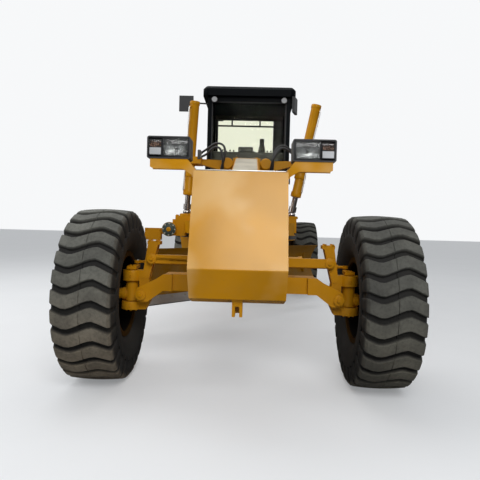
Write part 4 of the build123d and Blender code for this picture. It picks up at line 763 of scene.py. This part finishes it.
class GRADER_OT_bolts(Operator):
    """Adds the bolts, pin keepers and inspection covers"""
    bl_idname = "grader.bolts"
    bl_label = "Bolts and keepers"

    def execute(self, context):
        for name, (body, rings, rows) in PATTERNS.items():
            bm = bmesh.new()
            for place, spread, count, out, across in rings + rows:
                for sign in (1, -1) if place[0] > 0 else (1,):
                    flip = Vector((sign, 1, 1))
                    start, way = at(*place) * flip, Vector(out) * flip
                    if (place, spread, count, out, across) in rings:
                        bolt_ring(bm, start, spread, count, way, across)
                    else:
                        bolt_row(bm, start, at(*spread) * flip, count, way, across)
            piece(name, bm, body, "paint")
        for side, out in SIDES.items():
            self.axle_end(side, out)
            self.case_cover(side, out)
        return {"FINISHED"}

    def axle_end(self, side, out):
        """Keepers over the lean pins and the lean bar's pins, and bolts on the kingpin's cap and foot."""
        pin_x, bar_x, king_x = out * LEAN_PIN[0], out * BAR_PIN[0], out * KINGPIN_X
        pin_keepers, keepers, bolts, arm = (bmesh.new() for _ in range(4))
        for end in (-1, 1):
            disc(pin_keepers, at(pin_x, end * 0.142, LEAN_PIN[1]), (0, end, 0), 0.040, 0.007, 0.002)
        disc(keepers, at(bar_x, -0.092, BAR_PIN[1]), AHEAD, 0.036, 0.007, 0.002)
        disc(keepers, at(king_x, 0, 0.556), DOWN, 0.060, 0.006, 0.002)
        bolt_head(bolts, at(bar_x, -0.099, BAR_PIN[1]), AHEAD, 0.026)
        bolt_ring(bolts, at(king_x, 0, 0.550), 0.042, 6, DOWN, 0.016)
        for y in (-0.045, 0.045):
            bolt_row(bolts, at(out * 0.668, y, 1.105), at(out * 0.728, y, 1.105), 2, UP, 0.020)
        for y, z in ((-0.076, 0.825), (-0.082, 0.587)):  # grease nipples
            standing(bolts, at(king_x, y, z), (0, -0.012, 0), 0.006, 8)
        bolt_ring(arm, at(king_x, 0, 0.899), 0.026, 4, UP, 0.014, pi / 4)
        piece(f"lean_pin_keeper_{side}", pin_keepers, "front", "paint")
        piece(f"bracket_keepers_{side}", keepers, f"lean_bracket_{side}", "paint")
        piece(f"bracket_bolts_{side}", bolts, f"lean_bracket_{side}", "paint")
        piece(f"steering_arm_bolts_{side}", arm, f"knuckle_{side}", "paint")

    def case_cover(self, side, out):
        """An inspection cover between the two wheels of a chain case."""
        x, face, y = CASE_FACE * out, (CASE_FACE + 0.012) * out, middle("tandem").y
        bolts = bmesh.new()
        for z in (0.62, 0.78):
            bolt_row(bolts, (face, y - 0.22, z), (face, y + 0.22, z), 6, (out, 0, 0), 0.020)
        standing(bolts, (face, y + 0.16, 0.70), (0.018 * out, 0, 0), 0.022, 6)
        piece(f"case_cover_{side}", boxes(y, ((x, face, -0.24, 0.24, 0.60, 0.80, 0.003),)), "rear", "paint")
        piece(f"case_cover_bolts_{side}", bolts, "rear", "bolt")


# ---- circle, its drive and the blade
BLADE_SWING = Matrix.Rotation(radians(50), 3, "Z")
TEETH, TEETH_R, TEETH_Z = 90, 0.737, 1.1147
MOTOR_FACE = (-0.818, 1.770, 1.185)
LIFT_BALL = (0.686, 2.500, 1.3541)
COLLAR = ((0.058, 0), (0.088, 0), (0.088, 0.028), (0.054, 0.034), (0.054, 0.01))  # radius, height
EDGE_BOLTS, EDGE_PITCH = 19, 0.195


def drawbar_place(x, y, z):
    """A place on the drawbar as if it stood straight, taken to where it stands."""
    ball, circle = anchor("drawbar_pitch"), anchor("circle_turn")
    turn = Matrix.Rotation(atan2(ball.x - circle.x, circle.y - ball.y), 3, "Z")
    return ball + turn @ (at(x, y, z) - ball)


class GRADER_OT_working_gear(Operator):
    """Adds the circle's teeth, its motor, the lift balls' collars and the blade's bolts"""
    bl_idname = "grader.working_gear"
    bl_label = "Circle and blade"

    def execute(self, context):
        centre = anchor("circle_turn")
        teeth = bmesh.new()
        for i in range(TEETH):
            spoke = Matrix.Rotation(2 * pi * i / TEETH, 4, "Z") @ Matrix.Translation((TEETH_R, 0, 0))
            bmesh.ops.create_cone(
                teeth, segments=4, radius1=0.0215, radius2=0.0215, depth=0.046, cap_ends=True,
                matrix=Matrix.Translation((centre.x, centre.y, TEETH_Z)) @ spoke)
        piece("circle_teeth", teeth, "circle", "iron", "steel", 20)
        front = self.motor()
        bolts, collars = bmesh.new(), bmesh.new()
        for x in (-0.745, -0.455):
            bolt_row(bolts, drawbar_place(x, 1.895, 1.350), drawbar_place(x, 2.045, 1.350), 4, UP, 0.020)
        for x in (-1.105, -0.945):
            for z in (1.070, 1.180):
                bolt_head(bolts, drawbar_place(x, 1.900, z), front, 0.022)
        for out in (-1, 1):
            ball = drawbar_place(out * LIFT_BALL[0], *LIFT_BALL[1:])
            bolt_ring(bolts, ball + Vector((0, 0, 0.028)), 0.073, 8, UP, 0.014)
            spun(collars, [collars.verts.new(ball + Vector((x, 0, z))) for x, z in COLLAR], ball, UP, 32)
        piece("drawbar_bolts", bolts, "drawbar", "paint")
        piece("lift_ball_collars", collars, "drawbar", "paint")
        self.edge_bolts(centre)
        return {"FINISHED"}

    def motor(self):
        """The circle motor's stepped end with its cap and bolts; gives the way that it looks."""
        face = drawbar_place(*MOTOR_FACE)
        front = (drawbar_place(MOTOR_FACE[0], 1.670, MOTOR_FACE[2]) - face).normalized()
        motor, cap, bolts = bmesh.new(), bmesh.new(), bmesh.new()
        disc(motor, face, front, 0.080, 0.012, 0.004)
        disc(motor, face + front * 0.012, front, 0.054, 0.016, 0.006)
        disc(cap, face + front * 0.028, front, 0.026, 0.018, 0.004)
        bolt_ring(bolts, face + front * 0.012, 0.067, 8, front, 0.014)
        piece("circle_motor_face", motor, "drawbar", "motor")
        piece("circle_motor_bolts", bolts, "drawbar", "bolt")
        piece("circle_motor_cap", cap, "drawbar", "paint")
        return front

    def edge_bolts(self, centre):
        """The row of bolts along the cutting edge."""
        bolts, out = bmesh.new(), BLADE_SWING @ Vector((0, -0.714, 0.700))
        for i in range(EDGE_BOLTS):
            spot = BLADE_SWING @ Vector(((i - (EDGE_BOLTS - 1) / 2) * EDGE_PITCH, -0.061, 0))
            bolt_head(bolts, (centre.x + spot.x, centre.y + spot.y, 0.4385), out, 0.024, 0.008)
        piece("cutting_edge_bolts", bolts, "moldboard", "bolt")


# ---- cab
WINDOW_HALF, WINDOW_TOP = 0.588, 3.200
PANE_FACES = (0.628, 0.636)  # x of a door pane's two broad faces
# x of the doors' and the posts' outer faces, and of the rails beside them.
DOOR_OUT, POST_OUT, RAIL_X = 0.650, 0.648, 0.700


def frame_strip(bm, low, high, width, flat):
    """Four strips round the opening between two corners; they are thin along flat (0 for x, 1 for y)."""
    for axis in (1 - flat, 2):
        for start in (low[axis], high[axis] - width):
            a, b = Vector(low), Vector(high)
            a[axis], b[axis] = start, start + width
            box(bm, a, b, width * 0.2)


class GRADER_OT_doors(Operator):
    """Gives each door a dark frame, a clear pane, a black seal, a kick strip and a lock"""
    bl_idname = "grader.doors"
    bl_label = "Cab doors"

    def execute(self, context):
        for side, out in SIDES.items():
            body = f"cab_door_{side}"
            bm, seal = bmesh.new(), bmesh.new()
            bm.from_mesh(frame["nodes"][body].data)
            bmesh.ops.remove_doubles(bm, verts=bm.verts, dist=0.0001)
            for face in bm.faces:
                x = abs(face.calc_center_median().x)
                if abs(face.normal.x) > 0.99 and min(abs(x - pane) for pane in PANE_FACES) < 0.001:
                    face.material_index = 1
            made = piece(f"door_{side}", bm, body, "dark", sharp=30)
            made.data.materials.append(FINISHES["glass"])
            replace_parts(made, body)
            low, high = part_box(body)
            frame_strip(seal, (out * 0.622, low.y + 0.055, low.z + 0.420),
                        (out * 0.652, high.y - 0.067, high.z - 0.060), 0.014, 0)
            box(seal, (out * 0.651, low.y + 0.10, low.z + 0.05),
                (out * 0.656, high.y - 0.12, low.z + 0.07), 0.002)
            keyhole = (out * DOOR_OUT, low.y + 0.05, low.z + 0.36)
            standing(seal, keyhole, (out * 0.012, 0, 0), 0.020, edge=0.003)
            piece(f"door_seal_{side}", seal, body, "trim")
        return {"FINISHED"}


class GRADER_OT_cab_trim(Operator):
    """Adds seals, wiper, sun band, lamps, rails, dash and mirror glass"""
    bl_idname = "grader.cab_trim"
    bl_label = "Cab trim"

    def execute(self, context):
        low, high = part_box("cab_glass")
        front, back = low.y, high.y
        seals = bmesh.new()
        for sill, y0, y1 in ((1.760, front - 0.006, front + 0.012), (2.310, back - 0.012, back + 0.006)):
            frame_strip(seals, (-WINDOW_HALF, y0, sill), (WINDOW_HALF, y1, WINDOW_TOP), 0.016, 1)
        piece("window_seals", seals, "rear", "trim")
        piece("rear_window_frame", boxes(back, (
            (-0.572, 0.450, -0.030, -0.010, 3.066, 3.094, 0.004),
            (-0.331, -0.303, -0.030, -0.010, 3.086, 3.190, 0.004),
            (0.181, 0.209, -0.030, -0.010, 3.086, 3.190, 0.004),
            (0.440, 0.572, -0.040, -0.010, 2.330, 3.186, 0.01),
            (-0.572, 0.450, -0.040, -0.010, 2.330, 2.600, 0.01))), "rear", "trim")
        band = (-0.571, 0.571, 0.012, 0.018, 2.985, 3.184, 0.002)
        liner = (-0.560, 0.560, 0.06, back - front - 0.06, 3.186, 3.198, 0.005)
        piece("sun_band", boxes(front, (band,)), "rear", "band")
        piece("head_liner", boxes(front, (liner,)), "rear", "felt")
        self.dash(front)
        self.wiper(front)
        self.lamps()
        self.rails()
        self.mirror_glass()
        return {"FINISHED"}

    def dash(self, front):
        """The cowl behind the windscreen with its monitor and lever banks."""
        bm = boxes(front, (
            (-0.570, 0.570, 0.05, 0.16, 1.80, 2.425, 0.02), (-0.16, 0.08, 0.10, 0.24, 2.40, 2.515, 0.02)))
        for x in (-0.42, -0.36, -0.30, -0.24, 0.20, 0.26, 0.32, 0.38, 0.44):
            top = (x * 0.97, front + 0.17, 2.455 + 0.012 * sin(40 * x))
            rod(bm, (x, front + 0.14, 2.39), top, 0.006, 8)
            knob = Matrix.Translation(top)
            bmesh.ops.create_uvsphere(bm, u_segments=10, v_segments=6, radius=0.014, matrix=knob)
        piece("dash", bm, "rear", "trim")

    def wiper(self, front):
        """A parked wiper: motor cover, arm and blade."""
        bm = boxes(front, ((0.30, 0.40, -0.035, -0.006, 1.79, 1.85, 0.008),))
        rod(bm, (0.35, front - 0.030, 1.83), (-0.30, front - 0.022, 1.98), 0.007, 10)
        rod(bm, (-0.10, front - 0.012, 1.90), (-0.50, front - 0.012, 2.06), 0.008, 8)
        piece("wiper", bm, "rear", "trim")

    def lamps(self):
        """Two round lamps under the front of the roof and two square ones at its back."""
        low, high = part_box("cab_roof")
        for side, out in SIDES.items():
            shell, pane = bmesh.new(), bmesh.new()
            round_lamp = Vector((out * 0.545, low.y, low.z - 0.052))
            square_lamp = Vector((out * 0.545, high.y, low.z))
            standing(shell, round_lamp + Vector((0, 0.045, 0)), (0, 0.040, 0), 0.050, 32, 0.036, 0.004)
            standing(shell, round_lamp + Vector((0, 0.070, 0.012)), (0, 0, 0.044), 0.010, 12)
            standing(pane, round_lamp + Vector((0, 0.040, 0)), (0, 0.006, 0), 0.042, 32, edge=0.002)
            for form, near, far, edge in ((shell, (-0.06, -0.10, -0.085), (0.06, -0.04, 0.002), 0.010),
                                          (pane, (-0.052, -0.042, -0.078), (0.052, -0.034, -0.010), 0.004)):
                box(form, square_lamp + Vector(near), square_lamp + Vector(far), edge)
            piece(f"roof_lamp_shells_{side}", shell, "rear", "trim")
            piece(f"roof_lamp_panes_{side}", pane, "rear", "milky")

    def rails(self):
        """A grab rail behind each door, on two stand-offs."""
        y = at(0, 4.90, 0).y
        for side, out in SIDES.items():
            bm = bmesh.new()
            standing(bm, (out * RAIL_X, y, 1.52), (0, 0, 0.90), 0.013, 16, edge=0.004)
            for z in (1.56, 2.38):
                rod(bm, (out * RAIL_X, y, z), (out * POST_OUT, y, z), 0.010, 12)
                disc(bm, (out * (DOOR_OUT + 0.0002), y, z), (out, 0, 0), 0.022, 0.006, 0.001)
            piece(f"grab_rail_{side}", bm, "rear", "trim")

    def mirror_glass(self):
        """The reflecting face on the back of the right mirror's head."""
        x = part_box("mirrors")[0].x
        piece("mirror_glass", boxes(middle("mirrors").y, (
            (x + 0.012, x + 0.208, 0.0205, 0.024, 3.032, 3.248, 0.001),)), "rear", "mirror")


class GRADER_OT_seat(Operator):
    """Makes the stuffed seat cushion, back and headrest, and the bars that hold them"""
    bl_idname = "grader.seat"
    bl_label = "Seat"

    def execute(self, context):
        low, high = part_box("seat")
        pads = (  # name, low corner, high corner, axis that the crown stands on
            ("cushion", (-0.25, low.y, low.z), (0.25, low.y + 0.45, low.z + 0.12), 2),
            ("back", (-0.24, high.y - 0.11, low.z + 0.13), (0.24, high.y, low.z + 0.65), 1),
            ("headrest", (-0.12, high.y - 0.10, low.z + 0.68), (0.12, high.y - 0.02, high.z), 1),
        )
        for name, near, far, flat in pads:
            made = self.pad(f"seat_{name}", Vector(near), Vector(far), flat)
            if name == "cushion":
                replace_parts(made, "seat")
        bars = boxes(high.y, ((-0.20, 0.20, -0.10, -0.03, low.z + 0.02, low.z + 0.16, 0.01),))
        for x in (-0.05, 0.05):
            standing(bars, (x, high.y - 0.06, low.z + 0.62), (0, 0, 0.10), 0.008, 12)
        piece("seat_bars", bars, "rear", "iron", "black_trim")
        return {"FINISHED"}

    def pad(self, name, low, high, flat):
        """A closed pad: crowned faces, sides drawn in between the corners, and a sewn channel round."""
        bm = bmesh.new()
        centre, half = (low + high) / 2, (high - low) / 2
        bmesh.ops.create_cube(bm, size=2, matrix=Matrix.Translation(centre) @ Matrix.Diagonal((*half, 1)))
        bmesh.ops.subdivide_edges(bm, edges=bm.edges, cuts=11, use_grid_fill=True)
        wide = [axis for axis in range(3) if axis != flat]
        for vert in bm.verts:
            local = [(vert.co[i] - centre[i]) / half[i] for i in range(3)]
            u, v = (abs(local[axis]) for axis in wide)
            crown = max((1 - u ** 4) * (1 - v ** 4), 0)
            thick = 0.62 + 0.38 * crown ** 0.5 - (0.10 if 0.70 < max(u, v) < 0.80 else 0.0)
            vert.co[flat] = centre[flat] + local[flat] * half[flat] * thick
            for axis, other in (wide, wide[::-1]):
                pull = 1 - 0.045 * (1 - local[other] ** 2)
                vert.co[axis] = centre[axis] + local[axis] * half[axis] * pull * 0.985
        made = piece(name, bm, "rear", "cloth", sharp=180)
        smooth = made.modifiers.new("smooth", "SUBSURF")
        smooth.levels = smooth.render_levels = 1
        return made


# ---- engine enclosure and tail
DOOR_X = 0.480  # the side doors' outer face
LOUVRES, LOUVRE_PITCH, LOUVRE_LENGTH = 6, 0.062, 0.420
MESH_PITCH, WIRE_R = 0.020, 0.0018
TAIL_Y = 7.880
GUARD_RODS, GUARD_R = 16, 0.066  # round the stack
STEP_TOPS = (0.505, 0.805, 1.105)


class GRADER_OT_tail(Operator):
    """Adds latches, handles, mesh, tail lamps, caps, the stack's guard, step studs, a pale neck plate and two
    strips of painted highlight and shade
    """
    bl_idname = "grader.tail"
    bl_label = "Enclosure and tail"

    def execute(self, context):
        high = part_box("hood")[1]
        self.mesh(high.y - 0.040)
        for side, out in SIDES.items():
            self.door_gear(side, out)
        for side, out in SIDES.items():
            self.tail_lamps(side, out)
        self.stack()
        self.caps(high)
        self.step_studs()
        self.neck_plate()
        self.box_lip()
        return {"FINISHED"}

    def mesh(self, y):
        """Wire mesh behind the grille's bars."""
        bm = bmesh.new()
        for i in range(31):
            standing(bm, (-0.300 + MESH_PITCH * i, y, 1.52), (0, 0, 0.56), WIRE_R, 4)
        for i in range(28):
            standing(bm, (-0.305, y + 0.003, 1.53 + MESH_PITCH * i), (0.61, 0, 0), WIRE_R, 4)
        piece("grille_mesh", bm, "rear", "iron", "black_trim")

    def door_gear(self, side, out):
        """Two flush latches, a pull handle and black strips of painted shade under the louvres' lips of a side
        door.
        """
        body, face = f"hood_door_{side}", out * DOOR_X
        low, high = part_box(body)
        gear, shade_strips = bmesh.new(), bmesh.new()
        for share in (0.30, 0.70):
            y = low.y + (high.y - low.y) * share
            box(gear, (face, y - 0.055, low.z + 0.020), (face + out * 0.006, y + 0.055, low.z + 0.075), 0.002)
            standing(gear, (face, y, low.z + 0.047), (out * 0.014, 0, 0), 0.014, 20, edge=0.002)
        y, z, grip = (low.y + high.y) / 2, low.z + 0.12, face + out * 0.035
        for shift in (-0.09, 0.09):
            rod(gear, (face, y + shift, z), (grip, y + shift, z), 0.007, 12)
        rod(gear, (grip, y - 0.098, z), (grip, y + 0.098, z), 0.008, 12, edge=0.002)
        # Black strips of painted shade stand for the dark openings under the louvres.
        for start in (low.y + 0.090, high.y - 0.090 - LOUVRE_LENGTH):
            for i in range(LOUVRES):
                z = low.z + 0.090 + LOUVRE_PITCH * i
                box(shade_strips, (face, start + 0.012, z - 0.007),
                    (face + out * 0.012, start + LOUVRE_LENGTH - 0.012, z - 0.0005))
        piece(f"hood_door_gear_{side}", gear, body, "trim")
        piece(f"louvre_slots_{side}", shade_strips, body, "felt")

    def tail_lamps(self, side, out):
        """A black housing with a red and an amber lens on one end of the tail block."""
        x, y = out * 0.34, at(0, TAIL_Y, 0).y
        for name, finish, x0, x1, y0, y1, margin, edge in (
                ("shell", "trim", -0.075, 0.075, 0, 0.030, 0, 0.006),
                ("red", "red", -0.068, 0.008, 0.028, 0.040, 0.007, 0.005),
                ("amber", "amber", 0.014, 0.068, 0.028, 0.040, 0.007, 0.005)):
            form = boxes(y, ((x + x0, x + x1, y0, y1, 1.155 + margin, 1.235 - margin, edge),))
            piece(f"tail_lamp_{name}_{side}", form, "rear", finish)

    def stack(self):
        """Clamps and a slotted heat guard round the stack."""
        low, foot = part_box("exhaust")[0], middle("exhaust")
        foot.z = low.z
        bm = bmesh.new()
        for z in (0.04, 0.40):
            clamp = foot + Vector((0, 0, z))
            standing(bm, clamp, (0, 0, 0.018), 0.068, 40, edge=0.002)
            standing(bm, clamp + Vector((-0.064, -0.02, 0.009)), (0, 0.04, 0), 0.008, 8)
        standing(bm, foot, (0, 0, 0.012), 0.095, 40, edge=0.003)
        bolt_ring(bm, foot + Vector((0, 0, 0.012)), 0.082, 6, UP, 0.014)
        for place in ring_places(foot + Vector((0, 0, 0.07)), GUARD_R, GUARD_RODS, UP):
            standing(bm, place, (0, 0, 0.32), 0.004, 6)
        piece("stack_guard", bm, "rear", "iron", "black_trim")

    def caps(self, high):
        """The radiator's cap, the filler's cap and four lifting eyes on the enclosure's top."""
        caps, eyes = bmesh.new(), bmesh.new()
        for x, back, radius in ((-0.20, 0.45, 0.045), (-0.28, 1.35, 0.035)):
            foot = Vector((x, high.y - back, high.z - 0.002))
            standing(caps, foot, (0, 0, 0.024), radius, 32, radius * 0.92, 0.004)
            grip = radius * 0.7
            box(caps, foot + Vector((-grip, -0.006, 0.022)), foot + Vector((grip, 0.006, 0.034)), 0.002)
        for x in (-0.36, 0.36):
            for back in (0.30, 2.25):
                foot = Vector((x, high.y - back, high.z - 0.002))
                standing(eyes, foot, (0, 0, 0.012), 0.030, 20, edge=0.002)
                standing(eyes, foot + Vector((0, 0, 0.012)), (0, 0, 0.030), 0.010, 12)
        piece("filler_caps", caps, "rear", "trim")
        piece("lifting_eyes", eyes, "rear", "bolt")

    def step_studs(self):
        """Raised studs on the steps' treads."""
        bm = bmesh.new()
        spots = ((out * (0.652 + 0.030 * j), 4.635 + 0.026 * i, z)
                 for out in (-1, 1) for z in STEP_TOPS for i in range(12) for j in range(5))
        for spot in spots:
            standing(bm, at(*spot), (0, 0, 0.004), 0.006, 6, 0.004)
        piece("step_studs", bm, "rear", "steel")

    def neck_plate(self):
        """A pale plate up the neck, its paleness partly a painted reflection of the sky on the neck's top."""
        bm = bmesh.new()
        foot, head = at(-0.128, 0.34, 1.6095), at(-0.128, 2.26, 2.0905)
        slope = (head - foot).normalized()
        thick = Vector((0, -slope.z, slope.y)) * 0.004
        face = bm.faces.new([bm.verts.new(place) for place in (foot, head, head + thick, foot + thick)])
        grown = bmesh.ops.extrude_face_region(bm, geom=[face])["geom"]
        far_side = [item for item in grown if isinstance(item, bmesh.types.BMVert)]
        bmesh.ops.translate(bm, vec=(0.256, 0, 0), verts=far_side)
        piece("neck_plate", bm, "front", "pale")

    def box_lip(self):
        """A pale steel strip along the top front edge of the push block, partly a painted highlight, with a
        black strip under it as painted shade in the seam.
        """
        # Painted highlight and painted shade: a pale strip on the edge and a black one in the seam below it.
        strip = (-0.296, 0.296, 0.012, 0.040, 1.600, 1.607, 0.002)
        rubber = (-0.296, 0.296, 0.006, 0.046, 1.596, 1.601, 0.001)
        front = FRONT_Y - 0.730
        piece("box_lip", boxes(front, (strip,)), "front", "pipe")
        piece("box_lip_rubber", boxes(front, (rubber,)), "front", "trim")


# ---- finishes of the carried-over nodes
def both(*stems):
    return [f"{stem}_{side}" for stem in stems for side in SIDES]


NODE_FINISHES = {  # all others have rim or body paint
    "box": ["front_box"],
    "blade": ["moldboard"],
    "neck": ["front_frame"],
    "lens": ["lamp_lenses"],
    "trim": ["lamp_housings", "mirrors", "cab_controls"],
    "dark": ["cab_roof", "cab_shell", *both("cab_door")],
    "glass": ["cab_glass"],
    "cloth": ["seat"],
    "iron": ["engine", "exhaust"],
    "steel": ["cutting_edge"],
    "chrome": ["lean_rod", "tip_rod", "side_shift_rod", *both("lift_rod", "articulation_rod")],
    "bolt": ["tie_rod_joint"],
}
EDGED = ["front_box", "front_frame", "hood", "cab_shell", "cab_roof", "rear_frame", "front_axle", "drawbar",
         "lamp_housings", "lean_bar", "moldboard", "blade_carrier", "circle", "tandem",
         *both("lean_bracket", "lift_barrel")]


class GRADER_OT_finishes(Operator):
    """Makes the materials and gives every carried-over node its own"""
    bl_idname = "grader.finishes"
    bl_label = "Finishes"

    def execute(self, context):
        make_finishes()
        chosen = {node: finish for finish, nodes in NODE_FINISHES.items() for node in nodes}
        for name, node in frame["nodes"].items():
            finish = chosen.get(name, "rim" if name.startswith("rim_") else "paint")
            node.data.materials.clear()
            node.data.materials.append(FINISHES[finish])
            if name in EDGED:
                self.soften(node)
        return {"FINISHED"}

    def soften(self, node):
        """Joins the loose triangles and takes the sharpness off the plates' edges."""
        weld = node.modifiers.new("weld", "WELD")
        weld.merge_threshold = 0.0001
        edge = node.modifiers.new("edge", "BEVEL")
        edge.limit_method = "ANGLE"
        edge.angle_limit = radians(40)
        edge.width = sizes().edge
        edge.segments = 2
        edge.use_clamp_overlap = True
        edge.harden_normals = True


# ---- stage
LIGHTS = (  # name, place, aim, size, power
    ("key", (0.9, FRONT_Y - 6.2, 5.2), (0.1, FRONT_Y - 0.8, 1.3), (3.2, 3.2), 300),
    ("top", (-2.5, 0.5, 8.0), (0, 0, 1), (7, 9), 330),
    ("side", (-7.5, -3.0, 4.0), (0, -2, 1), (4, 4), 120),
)
EYE = (0.073, FRONT_Y - 3.93, 1.24)
EYE_TURNS = ((1.2, "Z"), (90 - 1.6, "X"), (1.5, "Z"))  # degrees to the side, up from looking down, rolled


class GRADER_OT_stage(Operator):
    """Makes the floor, the light and the camera"""
    bl_idname = "grader.stage"
    bl_label = "Stage"

    def execute(self, context):
        scene = context.scene
        bm = bmesh.new()
        bmesh.ops.create_grid(bm, x_segments=1, y_segments=1, size=60)
        mesh = mesh_of("floor", bm)
        mesh.materials.append(self.floor())
        put("floor", mesh)
        scene.world = self.world()
        for name, place, aim, size, power in LIGHTS:
            light = bpy.data.lights.new(name, "AREA")
            light.shape = "RECTANGLE"
            light.size, light.size_y = size
            light.energy = power
            made = put(name, light)
            made.location = place
            made.rotation_euler = (Vector(aim) - Vector(place)).to_track_quat("-Z", "Y").to_euler()
        camera = bpy.data.cameras.new("camera")
        camera.lens = sizes().lens
        camera.sensor_width = 36
        camera.clip_end = 200
        scene.camera = put("camera", camera)
        view = Matrix.Translation(EYE)
        for angle, axis in EYE_TURNS:
            view = view @ Matrix.Rotation(radians(angle), 4, axis)
        scene.camera.matrix_world = view
        scene.view_settings.view_transform = "Standard"
        return {"FINISHED"}

    def floor(self):
        """A grey floor that the paint mirrors as dark ground and the camera sees a little brighter."""
        mix = Recipe("studio_floor")
        grey = colour("floor")
        cloudy = mix.blend(mix.noise(0.8, 3).between(0.2, 0.8), grey, dim(grey, 0.96))
        return mix.finish(mix.blend(mix.ray("Glossy"), cloudy, colour("ground")), 0.85,
                          Emission_Color=mix.blend(mix.ray("Camera"), (0, 0, 0), (0.24, 0.245, 0.25)),
                          Emission_Strength=1.0)

    def world(self):
        """A flat fill, a pale backdrop, and a sky over dark ground for what the paint reflects."""
        mix = Recipe("studio", "worlds")
        rise = mix.axis("Z", mix.node("ShaderNodeTexCoord", {}, {}, "Generated"))
        sky = mix.blend(rise.between(0.02, 0.42), colour("ground"), colour("sky"))
        tones = (((0.90, 0.92, 0.95, 1), sizes().fill), (sky, 1.0), ((0.93, 0.94, 0.95, 1), 1.0))
        fill, mirrored, seen = (mix.node("ShaderNodeBackground", {}, {"Color": tone, "Strength": strength})
                                for tone, strength in tones)
        light = mix.node("ShaderNodeMixShader", {}, {0: mix.ray("Glossy"), 1: fill, 2: mirrored})
        direct = mix.ray("Camera") + mix.ray("Transmission")
        light = mix.node("ShaderNodeMixShader", {}, {0: direct, 1: light, 2: seen})
        mix.node("ShaderNodeOutputWorld", {}, {"Surface": light})
        return mix.material


# ---- panel and registration
OPERATORS = (GRADER_OT_finishes, GRADER_OT_tyres, GRADER_OT_wheel_nuts, GRADER_OT_lamps, GRADER_OT_hydraulics,
             GRADER_OT_bolts, GRADER_OT_working_gear, GRADER_OT_doors, GRADER_OT_cab_trim, GRADER_OT_seat,
             GRADER_OT_tail, GRADER_OT_stage)


class GRADER_PT_dressing(Panel):
    """Lists the colours, the sizes and the steps"""
    bl_label = "Motor Grader"
    bl_idname = "GRADER_PT_dressing"
    bl_space_type = "VIEW_3D"
    bl_region_type = "UI"
    bl_category = "Grader"

    def draw(self, context):
        layout = self.layout
        for group in (context.scene.grader_colours, context.scene.grader_sizes):
            for key in group.bl_rna.properties.keys():
                if key not in ("rna_type", "name"):
                    layout.prop(group, key)
        for step in OPERATORS:
            layout.operator(step.bl_idname)


CLASSES = (GraderColours, GraderSizes, *OPERATORS, GRADER_PT_dressing)


def register():
    for cls in CLASSES:
        bpy.utils.register_class(cls)
    Scene.grader_colours = bpy.props.PointerProperty(type=GraderColours)
    Scene.grader_sizes = bpy.props.PointerProperty(type=GraderSizes)


def unregister():
    del Scene.grader_colours
    del Scene.grader_sizes
    for cls in reversed(CLASSES):
        bpy.utils.unregister_class(cls)


def main():
    register()
    for step in OPERATORS:
        group, name = step.bl_idname.split(".")
        getattr(getattr(bpy.ops, group), name)()


if __name__ == "__main__":
    main()
